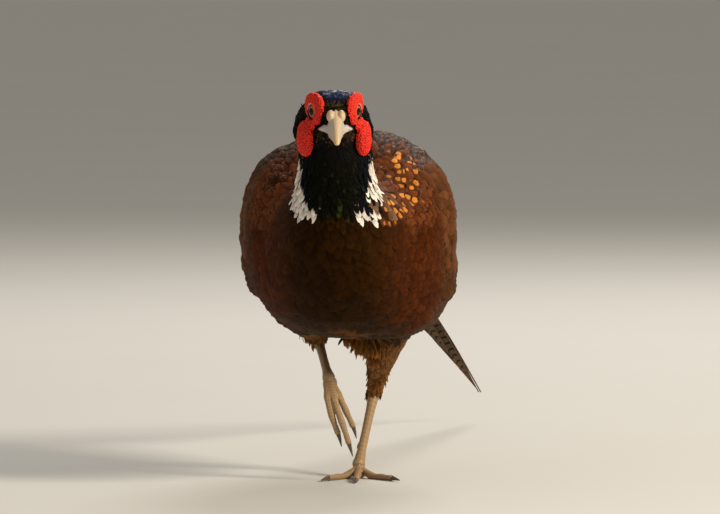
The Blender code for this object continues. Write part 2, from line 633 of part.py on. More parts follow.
def make_bill():
    """Upper and lower bill, their roots set against the face, with the nostrils under their lobes."""
    upper = bill_loft("bill_upper", UPPER_BILL_SECTIONS, True, 12)
    lobes, slits = [], []
    for side in (1, -1):
        place = head_to_world(mirrored(NOSTRIL_LOBE, side))
        lobes.append(ellipsoid("lobe", place, head_axes(), NOSTRIL_LOBE_SIZE, "bill", 12, 8))
        place = head_to_world(mirrored(NOSTRIL_SLIT, side))
        slits.append(ellipsoid("slit", place, head_axes(), NOSTRIL_SLIT_SIZE, "bill", 8, 6))
        lobes.append(gape_lobe(side))
    combine(upper, lobes, "UNION")
    lower = bill_loft("bill_lower", LOWER_BILL_SECTIONS, False, 9)
    combine(upper, [head_loft("core", "head", GAP), *slits], "DIFFERENCE")
    combine(lower, [head_loft("core", "head", GAP)], "DIFFERENCE")


def vane(name, route, across, normals, half_widths, kind):
    """One feather as a closed blade: thin at its edges, thicker along its shaft, ending in a point.

    Both faces are split into triangles along the same diagonals, so that they never cross."""
    rings = []
    for point, side, normal, width in zip(route, across, normals, half_widths):
        low, high = -normal * VANE_EDGE / 2, normal * VANE_EDGE / 2
        shaft = normal * VANE_THICKNESS / 2
        rings.append([
            point - side * width + low, point - shaft, point + side * width + low,
            point + side * width + high, point + shaft, point - side * width + high,
        ])
    points = [p for ring in rings[:-1] for p in ring] + [route[-1]]
    faces = []
    last = len(rings) - 2
    for i in range(last):
        for k in range(6):
            a, b = 6 * i + k, 6 * i + (k + 1) % 6
            c, d = b + 6, a + 6
            faces += [(a, b, c), (a, c, d)] if k < 2 else [(a, b, d), (b, c, d)]
    tip = len(points) - 1
    faces += [(6 * last + k, 6 * last + (k + 1) % 6, tip) for k in range(6)]
    faces += [(0, 1, 5), (1, 4, 5), (1, 2, 4), (2, 3, 4)]
    return mesh_object(name, points, faces, kind)


def wing_surface(y, angle, height, side):
    """World point over the torso at a y, an angle from its side and a height, all in mm and degrees."""
    turn = math.radians(angle)
    turn = turn if side > 0 else math.pi - turn
    return trunk_points(place_at(y), np.array(turn), height * MM)


def wing_frame(y, angle, height, side):
    """The point, the direction round the torso downwards, and the outward normal there."""
    point = wing_surface(y, angle, height, side)
    down = unit(wing_surface(y, angle - 2.0, height, side) - wing_surface(y, angle + 2.0, height, side))
    along = unit(wing_surface(y + 4.0, angle, height, side) - wing_surface(y - 4.0, angle, height, side))
    out = np.cross(along, down)
    centre = trunk_to_world(trunk_section(place_at(y))[0])
    out = unit(out if out @ (point - centre) > 0 else -out)
    return point, unit(np.cross(out, along) * np.sign(np.cross(out, along) @ down)), out


def wing_pad(name, side):
    """The fleshy front of the folded wing, thickest in the middle and thin at its borders."""
    rings = []
    for i in range(WING_PAD_RINGS):
        share = i / (WING_PAD_RINGS - 1)
        y = WING_FRONT + (WING_REAR - WING_FRONT) * share
        rise = math.sin(math.pi * 0.85 * share) ** 0.6
        outer, inner = [], []
        for j in range(WING_PAD_ROWS):
            across = j / (WING_PAD_ROWS - 1)
            angle = WING_LOW + (WING_HIGH - WING_LOW) * across
            swell = rise * math.sin(math.pi * across) ** 0.5
            height = WING_PAD_EDGE + (WING_PAD_HEIGHT - WING_PAD_EDGE) * swell
            outer.append(wing_surface(y, angle, height, side))
            inner.append(wing_surface(y, angle, -WING_PAD_SINK, side))
        rings.append(outer + inner[::-1])
    return loft(name, rings, "wing")


def wing_vanes(side):
    """All the vanes of one wing, tier by tier, each tier set on the root of the next."""
    made = []
    for kind, row in WING_TIERS.items():
        count, root_y, tip_low, tip_high, root_low, root_high, out_low, out_high = row[:8]
        root_height, tip_height, width, tilt = row[8:]
        tilt = math.radians(tilt)
        for i in range(count):
            share = i / (count - 1)
            tip_y = tip_low + (tip_high - tip_low) * share
            start = root_low + (root_high - root_low) * share
            end = out_low + (out_high - out_low) * share
            route, across, normals = [], [], []
            stations = COVERT_STATIONS if "covert" in kind else FLIGHT_STATIONS
            for t, _ in stations:
                angle = start + (end - start) * t
                thin = min((WING_HIGH - angle) / WING_FEATHER_EDGE, (angle - WING_LOW) / WING_FEATHER_FOOT)
                thin = np.clip(thin, 0.0, 1.0)
                height = root_height + (tip_height - root_height) * min(1.0, t / WING_TIP_REACHED)
                height = height * (WING_FEATHER_THIN + (1 - WING_FEATHER_THIN) * thin)
                height = height - WING_ROOT_SINK * (1 - t) ** 6
                point, down, out = wing_frame(root_y + (tip_y - root_y) * t, angle, height, side)
                route.append(point)
                across.append(math.cos(tilt) * down + math.sin(tilt) * out)
                normals.append(math.cos(tilt) * out - math.sin(tilt) * down)
            widths = [width * MM * share for _, share in stations]
            made.append(vane(kind, route, across, normals, widths, "wing"))
    return made


def make_wings():
    """Folded wings, laid against the sides of the torso."""
    keys = trunk_keys()
    for name, side in (("wing_left", 1), ("wing_right", -1)):
        wing = combine(wing_pad(name, side), wing_vanes(side), "UNION")
        shy = (-2.0 * MM, -2.0 * MM)
        torso = trunk_loft("torso_core", 0.0, keys[NECK_FROM], TORSO_RINGS, "torso", GAP, shy)
        combine(wing, [torso], "DIFFERENCE")


def tail_route(length, steps, turn=0.0, out=0.0, low=0.0):
    """Points, side and top directions along a tail feather that starts at the rump."""
    reach = length * np.asarray(steps, float)
    root = trunk_to_world(trunk_section(0.0)[0])
    drop = TAIL_DROP_ROOT + (TAIL_DROP_TIP - TAIL_DROP_ROOT) * reach / TAIL_LENGTH / 2
    level = np.array([math.sin(TAIL_YAW), math.cos(TAIL_YAW), 0.0])
    side = np.array([math.cos(TAIL_YAW), -math.sin(TAIL_YAW), 0.0])
    sides = np.tile(side, (len(reach), 1))
    along = np.cos(drop)[:, None] * level - np.sin(drop)[:, None] * UP
    tops = np.cross(sides, along)
    across = (out + reach * math.sin(turn)) * np.ones_like(reach)
    points = root + along * (reach * math.cos(turn))[:, None] + sides * across[:, None]
    return points - tops * (low * np.ones_like(reach))[:, None], sides, tops


def tail_feather(name, length, width, pair, side):
    """One flight feather of the tail. It tapers to its point and hugs the middle of the tail."""
    steps, shares = np.transpose(RECTRIX_STATIONS)
    turn, slope = TAIL_PAIR_SPREAD * pair, math.tan(TAIL_ROOF)
    widths = width * shares
    out = (width - RECTRIX_HUG * (width - widths)) * math.cos(TAIL_ROOF)
    out += TAIL_PAIR_STEP * pair - TAIL_RIDGE
    low = TAIL_LAYER * pair + (out + length * steps * math.sin(turn)) * slope
    low = low + TAIL_OVERLAP * (side < 0)
    points, sides, tops = tail_route(length, steps, side * turn, side * out, low)
    across = math.cos(TAIL_ROOF) * sides - side * math.sin(TAIL_ROOF) * tops
    normals = math.cos(TAIL_ROOF) * tops + side * math.sin(TAIL_ROOF) * sides
    return vane(name, points, across, normals, widths, "tail")


def tail_covert(place):
    """One feather over the base of the tail, at a place counted from the middle to the left."""
    steps, shares = np.transpose(TAIL_COVERT_STATIONS)
    length = TAIL_COVERT_LENGTH * (1 - TAIL_COVERT_SHORTER * abs(place))
    points, sides, tops = tail_route(length, steps, -place * TAIL_COVERT_TURN, place * TAIL_COVERT_STEP)
    lift = TAIL_COVERT_LIFT * (1 - TAIL_COVERT_LOWER * abs(place)) * (1 - TAIL_COVERT_FALL * steps)
    points += tops * lift[:, None]
    roof = TAIL_COVERT_ROOF * place
    across = math.cos(roof) * sides - math.sin(roof) * tops
    normals = math.cos(roof) * tops + math.sin(roof) * sides
    return vane("tail_covert", points, across, normals, TAIL_COVERT_WIDTH * shares, "tail")


def make_tail():
    """The tail root with its flight feathers below and its coverts above, in one piece."""
    angles = np.arange(TAIL_ROOT_SIDES) * 2 * math.pi / TAIL_ROOT_SIDES
    root_rings = [trunk_points(0.0, angles, 0.0, -GAP)]
    _, _, _, (half_width, rise, drop), _ = trunk_section(0.0)
    c, s = np.cos(angles)[:, None], np.sin(angles)[:, None]
    for share, wide, deep in TAIL_ROOT_SECTIONS:
        point, side, top = (rows[0] for rows in tail_route(TAIL_ROOT_LENGTH, [share]))
        height = np.where(s > 0, rise, drop) * deep * s
        root_rings.append(point + half_width * wide * c * side + height * top)
    tail = loft("tail", root_rings, "tail")
    vanes = []
    for pair, (length, width) in enumerate(zip(TAIL_PAIR_LENGTHS, TAIL_HALF_WIDTHS)):
        for side in (1, -1):
            vanes.append(tail_feather("rectrix", length * MM, width * MM, pair, side))
    first = TAIL_COVERT_SHIFT - (TAIL_COVERT_COUNT - 1) / 2
    vanes += [tail_covert(first + i) for i in range(TAIL_COVERT_COUNT)]
    combine(tail, vanes, "UNION")


def shank_column(name, ankle, joint, grow=0.0):
    """The bare lower leg without its ankle."""
    shares, radii = np.transpose(SHANK_PROFILE)
    route = ankle + (joint - ankle) * shares[:, None]
    return tube(name, route, radii * MM + grow, 10, "leg", LEG_DEPTH)


def ankle_knob(ankle, grow=0.0):
    return ellipsoid("knob", ankle, np.eye(3), [ANKLE_RADIUS + grow] * 3, "leg", 10, 7)


def make_leg(name, leg, toes):
    """Drumstick, shank, spur, foot and claws of one leg."""
    hip, ankle, joint = (np.array(leg[key]) * MM for key in ("hip", "ankle", "joint"))
    down = unit(joint - ankle)
    make_drumstick(name, hip, ankle, joint)
    combine(shank_column(f"shank_{name}", ankle, joint), [ankle_knob(ankle)], "UNION")
    make_spur(name, ankle, joint, -np.sign(hip[0]))

    stub_start = ankle + (joint - ankle) * SHANK_PROFILE[-1][0] + down * GAP
    stub_radii = [SHANK_PROFILE[-1][1] * MM, TOE_JOINT_RADIUS * 0.9]
    pieces = [tube("stub", [stub_start, joint], stub_radii, 10, "leg", LEG_DEPTH)]
    pad, pad_size = (np.array(leg[key]) * MM for key in ("pad", "pad_size"))
    pieces.append(ellipsoid("pad", pad, np.eye(3), pad_size, "leg", 12, 8))
    foot = ellipsoid(f"foot_{name}", joint, np.eye(3), [TOE_JOINT_RADIUS] * 3, "leg", 10, 7)
    for number, (points, claw_way) in enumerate(toes, 1):
        rings = 2 * len(points) - 1
        route = smooth_route(points, rings)
        knuckles = 1.0 + TOE_KNUCKLES * np.cos(np.arange(rings) * math.pi)
        radii = np.linspace(TOE_RADIUS, TOE_TIP_RADIUS, rings) * knuckles
        pieces.append(tube("toe", route, radii, 6, "leg"))
        make_claw(f"claw_{name}_{number}", route[-1], unit(route[-1] - route[-2]), unit(claw_way))
    combine(foot, pieces, "UNION")
    floor_cut(foot)


def make_drumstick(name, hip, ankle, joint):
    """The feathered upper leg, fitted under the torso and round the ankle."""
    reach = np.linspace(0.0, 1.0, len(DRUMSTICK_RADII))[:, None]
    route, radii = hip + (ankle - hip) * reach, np.array(DRUMSTICK_RADII) * MM
    drumstick = tube(f"drumstick_{name}", route, radii, 14, "drumstick", LEG_DEPTH)
    torso = trunk_loft("torso_core", 0.0, trunk_keys()[NECK_FROM], TORSO_RINGS, "torso", GAP)
    bare = [shank_column("shank_core", ankle, joint, GAP), ankle_knob(ankle, GAP)]
    combine(drumstick, [torso, *bare], "DIFFERENCE")


def make_spur(name, ankle, joint, inner):
    """The cock's spur, on the back of the shank and turned a little inwards."""
    down = unit(joint - ankle)
    back = np.cross(down, np.array([1.0, 0.0, 0.0]))
    back = back * np.sign(back[1])
    way = unit(back + np.array([inner * SPUR_TURN, 0.0, 0.0]))
    root = ankle + (joint - ankle) * SPUR_PLACE
    middle = root + way * (SHANK_RADIUS + SPUR_LENGTH * 0.5)
    tip = root + way * (SHANK_RADIUS + SPUR_LENGTH) - down * SPUR_RISE
    radii = SPUR_RADIUS * np.array(SPUR_TAPER)
    spur = tube(f"spur_{name}", [root, middle, tip], radii, 7, "claw")
    combine(spur, [shank_column("shank_core", ankle, joint, GAP)], "DIFFERENCE")


def make_claw(name, root, toe_way, way):
    """A curved claw on the end of its toe, its tip kept off the floor."""
    radii = CLAW_RADIUS * np.array(CLAW_TAPER)
    start = root + toe_way * GAP
    middle = start + unit(toe_way + way) * CLAW_LENGTH * CLAW_BEND
    tip = middle + way * CLAW_LENGTH * (1 - CLAW_BEND)
    middle[2] = max(middle[2], CLAW_CLEARANCE + radii[2])
    tip[2] = max(tip[2], CLAW_CLEARANCE + radii[3])
    route = [start, start + toe_way * CLAW_RADIUS / 2, middle, tip]
    tube(name, route, radii, 7, "claw")


def floor_cut(obj):
    """Cuts the soles flat on the floor."""
    shape = bmesh.new()
    bmesh.ops.create_cube(shape, size=FLOOR_CUTTER)
    bmesh.ops.translate(shape, verts=shape.verts, vec=(0.0, 0.0, -FLOOR_CUTTER / 2))
    points = [tuple(v.co) for v in shape.verts]
    faces = [[v.index for v in f.verts] for f in shape.faces]
    shape.free()
    combine(obj, [mesh_object("floor", points, faces, "leg")], "DIFFERENCE")


def make_trunk():
    """Torso and neck, each closed by the plane where it meets the next."""
    keys = trunk_keys()
    half = GAP / 2
    trunk_loft("torso", 0.0, keys[NECK_FROM], TORSO_RINGS, "torso", shy=(0.0, half))
    trunk_loft("neck", keys[NECK_FROM], keys[HEAD_FROM], NECK_RINGS, "neck", shy=(half, half))


def smooth_shading():
    for obj in bpy.context.scene.collection.objects:
        obj.data.shade_smooth()
        obj.data.set_sharp_from_angle(angle=math.radians(35.0))


def gather(name):
    """Puts every piece of the bird in one collection."""
    bird = bpy.data.collections.new(name)
    bpy.context.scene.collection.children.link(bird)
    for obj in list(bpy.context.scene.collection.objects):
        bpy.context.scene.collection.objects.unlink(obj)
        bird.objects.link(obj)


def main():
    clear_scene()
    make_trunk()
    make_head()
    make_eyes()
    make_wattles()
    make_bill()
    make_wings()
    make_tail()
    make_leg("left", LEFT_LEG, LEFT_TOES)
    make_leg("right", RIGHT_LEG, RIGHT_TOES)
    smooth_shading()
    gather("common_pheasant")


main()
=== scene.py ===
"""The looks of a cock common pheasant, walking towards the viewer with one foot raised."""

import math

import bmesh
import bpy
import numpy as np
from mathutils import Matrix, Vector
from mathutils.bvhtree import BVHTree
from mathutils.kdtree import KDTree


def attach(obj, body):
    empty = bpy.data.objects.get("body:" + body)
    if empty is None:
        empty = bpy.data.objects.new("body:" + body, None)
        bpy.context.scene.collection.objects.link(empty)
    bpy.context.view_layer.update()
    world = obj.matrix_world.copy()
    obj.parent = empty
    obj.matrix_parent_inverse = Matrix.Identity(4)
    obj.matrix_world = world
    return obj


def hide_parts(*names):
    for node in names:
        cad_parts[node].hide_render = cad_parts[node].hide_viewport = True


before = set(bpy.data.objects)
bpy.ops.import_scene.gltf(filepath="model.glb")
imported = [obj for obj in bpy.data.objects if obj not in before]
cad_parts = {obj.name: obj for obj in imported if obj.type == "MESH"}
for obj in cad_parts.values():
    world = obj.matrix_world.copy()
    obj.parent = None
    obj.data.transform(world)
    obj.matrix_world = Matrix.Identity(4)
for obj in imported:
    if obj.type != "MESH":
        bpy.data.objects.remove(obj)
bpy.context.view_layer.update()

MM = 0.001
UP = np.array([0.0, 0.0, 1.0])
rng = np.random.default_rng(20)

# The bird's own symmetry frame, turned against the world's, and the head's place and turn.
TRUNK_SHIFT = -5.7 * MM
TRUNK_YAW = math.radians(4.1)
HEAD_PLACE = np.array([-17.6, -178.0, 281.5]) * MM
HEAD_PITCH = math.radians(12.0)
HEAD_YAW = math.radians(2.8)

# Middle line of head, neck and trunk. Feathers lie along it. Head points are forward, up from between the
# eyes; trunk points are y, z in the bird's own frame. All in millimetres.
HEAD_LINE = ((24.0, -4.0), (12.0, -7.0), (0.0, -9.0), (-9.0, -12.0), (-13.5, -18.0))
TRUNK_LINE = (
    (-161.5, 262.0), (-158.5, 249.0), (-155.0, 237.0), (-149.0, 223.0), (-136.0, 206.0), (-114.0, 192.0),
    (-85.0, 187.0), (-40.0, 185.0), (15.0, 184.5), (70.0, 185.5), (118.0, 187.0), (150.0, 185.0),
    (185.0, 174.0),
)
LINE_POWER = 5  # how strongly the nearest part of the middle line rules the lie of a feather
# Middle line of the neck for the collar, as height and y in the bird's own frame, in millimetres, and the
# collar's lower and upper edge at each turn from the front, in degrees.
NECK_AXIS = ((185.0, 195.0, 206.0, 223.0, 237.0, 249.0), (-118.0, -126.0, -140.0, -150.0, -155.0, -158.0))
NECK_MIDDLE = 2.0
COLLAR_DROP = 5.5  # its feathers grow this much higher than they show
COLLAR_TURNS = (0.0, 12.0, 30.0, 45.0, 60.0, 75.0, 100.0, 140.0, 180.0)
COLLAR_LOW = (197.5, 198.0, 196.5, 199.0, 207.0, 212.5, 217.0, 225.0, 229.0)
COLLAR_HIGH = (199.0, 203.5, 209.0, 216.0, 232.0, 243.0, 245.0, 245.0, 246.0)
# Hip and ankle of each leg, in millimetres.
LEGS = (((27.0, -30.0, 150.0), (11.5, 41.0, 60.5)), ((-46.0, -36.0, 146.0), (-30.5, 35.0, 101.0)))
# Shanks and toes as routes, in millimetres, for the scales on them.
LEG_ROUTES = (
    ((11.5, 41.0, 60.5), (0.0, -4.0, 10.5)),
    ((0, -4, 8), (-1, -20, 2.4), (-2, -36, 2.1), (-2, -49, 2.3)),
    ((0, -4, 8), (-9, -14, 2.5), (-18, -26, 2.1), (-23, -34, 2.3)),
    ((0, -4, 8), (9, -14, 2.5), (19, -26, 2.1), (25, -35, 2.3)),
    ((0, -3, 9), (2, 7, 6.0), (4, 15, 3.0)),
    ((-30.5, 35.0, 101.0), (-22.5, -28.0, 77.0)),
    ((-22.5, -29, 76), (-18, -39, 60), (-12, -42, 43), (-7.5, -40, 29)),
    ((-21.5, -29, 76), (-14, -34, 62), (-8.5, -33, 50), (-4.5, -29, 41)),
    ((-23.5, -29, 76), (-23.0, -38, 61), (-19.5, -40, 47), (-15.5, -38, 36)),
    ((-22.5, -27, 76), (-24, -16, 69), (-24, -10, 62)),
)
SHANK_ROUTES = (0, 5)
SHANK_SCUTE, TOE_SCUTE = 4.3, 2.4  # length of a scale on the shank and on the toes, in millimetres

# Wattles, eyes and bill, in the head's own axes, in millimetres.
# Columns: forward, left, up, half-length, half-thickness, half-height.
WATTLE_BULBS = (
    (3.6, 14.5, 3.6, 13.2, 7.0, 9.4), (10.6, 12.6, -1.2, 4.6, 6.0, 5.2), (3.0, 17.0, -8.4, 6.0, 6.0, 3.6),
    (0.4, 21.2, -20.2, 7.6, 7.0, 11.4),
)
WATTLE_VOXEL, PAPILLA_SPACING, PAPILLA_HEIGHT = 0.36 * MM, 1.35 * MM, 0.72 * MM
EYE_AXIS = (0.55, 0.833, 0.06)
EYE_RADIUS = 7.2 * MM
PUPIL_ANGLE, IRIS_ANGLE = 23.0, 43.0
LID_REACH, LID_WIDTH = 5.0 * MM, 1.2 * MM
BILL_VOXEL, CLAW_VOXEL, LEG_VOXEL = 0.45 * MM, 0.3 * MM, 0.5 * MM
EAR_ROOT, EAR_TIP = (-13.0, 17.5, -4.0), (-30.0, 22.0, -9.0)
# The thick lip at the corner of the mouth: middle and half-sizes, then how its outer end thins and droops.
LIP, LIP_SIZE = (17.6, 6.0, -7.6), (3.8, 5.8, 2.6)
LIP_TAPER_OVER, LIP_TAPER, LIP_DROOP, LIP_TOP, LIP_END = (7.0, 12.6), 0.50, 1.4, -3.6, 22.5

# Soft feathers that hang free. Columns: box of their roots, low and high corner, count, direction, length and
# spread of the direction. All lengths in millimetres.
LOOSE_TUFTS = (
    ((-2.0, -60.0, 96.0), (16.0, -14.0, 114.0), 210, (0.20, 0.62, -0.75), 13.0, 0.36),
    ((-12.0, -54.0, 97.0), (2.0, -20.0, 114.0), 70, (0.46, 0.60, -0.62), 9.0, 0.36),
    ((2.0, -46.0, 84.0), (14.0, -6.0, 112.0), 170, (-0.22, 0.10, -1.0), 12.0, 0.34),
    ((-46.0, 6.0, 96.0), (-22.0, 36.0, 114.0), 130, (0.20, 0.76, -0.60), 6.0, 0.10),
    ((-2.0, 14.0, 60.0), (24.0, 46.0, 86.0), 170, (-0.12, 0.52, -0.82), 6.5, 0.09),
)

# Tail, as in the solids.
TAIL_ROOT = (0.0, 150.0 * MM, 185.0 * MM)
TAIL_YAW = math.radians(13.2)
TAIL_DROP_ROOT, TAIL_DROP_TIP = math.radians(18.0), math.radians(24.0)
TAIL_LENGTH = 446.0 * MM
TAIL_PAIR_LENGTHS = (446.0, 350.0, 272.0, 216.0, 180.0, 156.0, 140.0)
TAIL_HALF_WIDTHS = (8.0, 8.0, 8.0, 8.0, 8.0, 8.0, 8.0)
TAIL_PAIR_SPREAD = math.radians(0.4)
TAIL_PAIR_STEP, TAIL_LAYER, TAIL_RIDGE = 0.6 * MM, 1.7 * MM, 1.2 * MM
TAIL_ROOF = math.radians(46.0)
RECTRIX_STATIONS = ((0.03, 0.48), (0.12, 0.90), (0.35, 1.0), (0.68, 0.72), (1.0, 0.0))
RECTRIX_HUG = 0.72
RECTRIX_BAR = 15.0 * MM  # from one dark bar to the next
BAR_LIMIT = 50.0  # the material reads the count of bars as a share of this

# Wing feathers, in rows from below upwards. Columns: y of the roots, first and last turn round the trunk,
# step in turn, length, half-width, turn of the feather upwards, height over the skin, and the kind of looks.
WING_ROWS = (
    (34.0, -25.0, -7.0, 4.0, 92.0, 6.0, 0.10, 1.5, "primary"),
    (-8.0, -25.0, 26.0, 3.6, 84.0, 7.5, 0.06, 0.3, "secondary"),
    (-10.0, 28.0, 47.0, 4.8, 78.0, 9.0, 0.02, 1.0, "tertial"),
    (-30.0, -25.0, 34.0, 4.2, 40.0, 6.5, 0.03, 0.7, "greater"),
    (-46.0, -25.0, 40.0, 4.2, 28.0, 5.6, 0.0, 0.8, "median"),
    (-59.0, -24.0, 44.0, 4.0, 24.0, 5.0, 0.0, 0.8, "median"),
    (-70.0, -21.0, 42.0, 3.8, 20.0, 4.6, 0.0, 0.6, "lesser"),
    (12.0, 38.0, 62.0, 5.4, 36.0, 8.0, 0.0, 2.6, "scapular"),
    (-6.0, 36.0, 63.0, 5.4, 36.0, 8.0, 0.0, 2.9, "scapular"),
    (-24.0, 36.0, 64.0, 5.2, 34.0, 7.5, 0.0, 3.1, "scapular"),
    (-41.0, 39.0, 65.0, 5.0, 31.0, 7.0, 0.0, 3.2, "scapular"),
)
# Ground, edge and spot colour, then band, spot size, shaft, metal, roughness and length of one bar in metres.
WING_LOOKS = {
    "primary": (
        (0.075, 0.048, 0.030), (0.060, 0.040, 0.026), (0.240, 0.165, 0.095), (0.05, 0.0, 0.5, 0.0, 0.55, 0.009)),
    "secondary": (
        (0.090, 0.055, 0.034), (0.110, 0.060, 0.034), (0.250, 0.165, 0.095), (0.08, 0.0, 0.5, 0.0, 0.55, 0.008)),
    "tertial": (
        (0.105, 0.060, 0.036), (0.200, 0.085, 0.040), (0.270, 0.180, 0.105), (0.22, 0.30, 0.5, 0.05, 0.55, 0.010)),
    "greater": (
        (0.112, 0.050, 0.024), (0.150, 0.060, 0.022), (0.165, 0.090, 0.048), (0.12, 0.36, 0.5, 0.05, 0.55, 0.0)),
    "median": (
        (0.118, 0.040, 0.011), (0.170, 0.064, 0.018), (0.024, 0.012, 0.007), (0.0, 0.95, 0.3, 0.06, 0.58, 0.0)),
    "lesser": (
        (0.118, 0.038, 0.009), (0.170, 0.060, 0.015), (0.024, 0.012, 0.007), (0.0, 0.95, 0.2, 0.06, 0.58, 0.0)),
    "scapular": (
        (0.030, 0.018, 0.012), (0.165, 0.062, 0.030), (0.300, 0.200, 0.110), (0.30, 0.58, 0.4, 0.08, 0.55, 0.0)),
}

# Stage. The photograph shows 720 pixels across, and 7315 of them reach as far as the camera is away.
LOOK_AT = (0.0009, 0.0, 0.1662)
CAMERA_DISTANCE, CAMERA_ELEVATION = 5.5, 3.0
SENSOR, PHOTO_WIDTH, FOCAL_PIXELS = 36.0, 720, 7315
FLOOR_RADIUS = 30.0
FLOOR_COLOUR = (0.78, 0.77, 0.74)
SKY_COLOUR, SKY_STRENGTH = (0.92, 0.87, 0.78), 0.32
STUDIO_LIGHTS = (
    ("key", (2.6, -1.7, 1.8), 1.0, 112.0, (1.0, 0.89, 0.73)),
    ("fill", (-2.4, -1.6, 1.4), 1.6, 4.0, (0.95, 0.95, 0.95)),
    ("back", (0.6, 2.4, 2.2), 1.2, 36.0, (1.0, 0.95, 0.88)),
)

SKIN_VOXEL = 2.2 * MM
SKIN_SWELL = 0.5 * MM  # parts grow by this before they are fused, to close the gaps between them
SKIN_NODES = ("torso", "neck", "head", "drumstick_left", "drumstick_right", "wing_left", "wing_right")


def unit(vectors):
    vectors = np.asarray(vectors, float)
    return vectors / np.maximum(np.linalg.norm(vectors, axis=-1, keepdims=True), 1e-12)


def smooth(low, high, value):
    """0 below low, 1 above high, and a smooth step between."""
    share = np.clip((np.asarray(value, float) - low) / (high - low), 0, 1)
    return share * share * (3 - 2 * share)


def mixed(first, second, share):
    share = np.asarray(share, float)[..., None]
    return np.asarray(first, float) * (1 - share) + np.asarray(second, float) * share


def trunk_to_world(points):
    c, s = math.cos(TRUNK_YAW), math.sin(TRUNK_YAW)
    x, y, z = np.moveaxis(np.asarray(points, float), -1, 0)
    return np.stack([x * c + y * s + TRUNK_SHIFT, y * c - x * s, z], axis=-1)


def world_to_trunk(points):
    c, s = math.cos(TRUNK_YAW), math.sin(TRUNK_YAW)
    x, y, z = np.moveaxis(np.asarray(points, float), -1, 0)
    return np.stack([(x - TRUNK_SHIFT) * c - y * s, y * c + (x - TRUNK_SHIFT) * s, z], axis=-1)


def head_axes():
    """Rows are the head's forward, left and up directions."""
    forward = np.array([
        math.sin(HEAD_YAW) * math.cos(HEAD_PITCH),
        -math.cos(HEAD_YAW) * math.cos(HEAD_PITCH),
        -math.sin(HEAD_PITCH),
    ])
    left = np.array([math.cos(HEAD_YAW), math.sin(HEAD_YAW), 0.0])
    return np.array([forward, left, np.cross(forward, left)])


def head_to_world(points):
    return np.asarray(points, float) @ head_axes() + HEAD_PLACE


def world_to_head(points):
    return (np.asarray(points, float) - HEAD_PLACE) @ head_axes().T


class Graph:
    """Builds a material's nodes. A value is a number, a colour or another node's output."""

    def __init__(self, name):
        self.material = bpy.data.materials.new(name)
        self.material.use_nodes = True
        self.tree = self.material.node_tree
        self.shader = self.tree.nodes["Principled BSDF"]

    def set(self, socket, value):
        if isinstance(value, bpy.types.NodeSocket):
            self.tree.links.new(value, socket)
        elif isinstance(value, (tuple, list)) and len(value) == 3 and socket.type == "RGBA":
            socket.default_value = (*value, 1.0)
        else:
            socket.default_value = value

    def finish(self, **values):
        """Sets the shader's inputs, given by their names with underscores."""
        for name, value in values.items():
            self.set(self.shader.inputs[name.replace("_", " ")], value)
        return self.material

    def node(self, kind, inputs=(), **settings):
        made = self.tree.nodes.new(kind)
        for name, value in settings.items():
            setattr(made, name, value)
        for key, value in dict(inputs).items():
            self.set(made.inputs[key], value)
        return made

    def math(self, operation, a, b=0.0, clamp=False):
        return self.node("ShaderNodeMath", {0: a, 1: b}, operation=operation, use_clamp=clamp).outputs[0]

    def step(self, value, low, high, first=0.0, last=1.0):
        """A smooth step from first to last while the value goes from low to high."""
        inputs = {0: value, 1: low, 2: high, 3: first, 4: last}
        return self.node("ShaderNodeMapRange", inputs, interpolation_type="SMOOTHSTEP").outputs[0]

    def mix(self, share, a, b, blend="MIX"):
        made = self.node("ShaderNodeMix", data_type="RGBA", blend_type=blend)
        for index, value in ((0, share), (6, a), (7, b)):
            self.set(made.inputs[index], value)
        return made.outputs[2]

    def attribute(self, name, output="Fac"):
        return self.node("ShaderNodeAttribute", attribute_name=name).outputs[output]

    def place(self):
        return self.node("ShaderNodeTexCoord").outputs["Object"]

    def noise(self, scale, detail=2.0, roughness=0.5, vector=None, output="Fac"):
        inputs = {"Scale": scale, "Detail": detail, "Roughness": roughness}
        inputs["Vector"] = self.place() if vector is None else vector
        return self.node("ShaderNodeTexNoise", inputs).outputs[output]

    def cells(self, scale, feature="F1", randomness=1.0, output="Distance"):
        inputs = {"Vector": self.place(), "Scale": scale, "Randomness": randomness}
        return self.node("ShaderNodeTexVoronoi", inputs, feature=feature).outputs[output]

    def bump(self, height, strength, distance):
        inputs = {"Height": height, "Strength": strength, "Distance": distance}
        return self.node("ShaderNodeBump", inputs).outputs[0]


def mesh_of(name, points, triangles, sharp=None):
    """A mesh object from arrays of points and triangles."""
    mesh = bpy.data.meshes.new(name)
    points = np.ascontiguousarray(points, np.float32).reshape(-1, 3)
    triangles = np.ascontiguousarray(triangles, np.int32).reshape(-1, 3)
    mesh.vertices.add(len(points))
    mesh.vertices.foreach_set("co", points.ravel())
    mesh.loops.add(triangles.size)
    mesh.loops.foreach_set("vertex_index", triangles.ravel())
    mesh.polygons.add(len(triangles))
    mesh.polygons.foreach_set("loop_start", np.arange(0, triangles.size, 3, dtype=np.int32))
    mesh.update(calc_edges=True)
    mesh.shade_smooth()
    if sharp is not None:
        mesh.set_sharp_from_angle(angle=math.radians(sharp))
    obj = bpy.data.objects.new(name, mesh)
    bpy.context.scene.collection.objects.link(obj)
    return obj


def paint(obj, name, values):
    """Stores a number, or a colour, for each point of a mesh."""
    values = np.asarray(values, np.float32)
    if values.ndim == 1:
        obj.data.attributes.new(name, "FLOAT", "POINT").data.foreach_set("value", values)
        return
    colours = np.ones((len(values), 4), np.float32)
    colours[:, : values.shape[1]] = values
    obj.data.attributes.new(name, "FLOAT_COLOR", "POINT").data.foreach_set("color", colours.ravel())


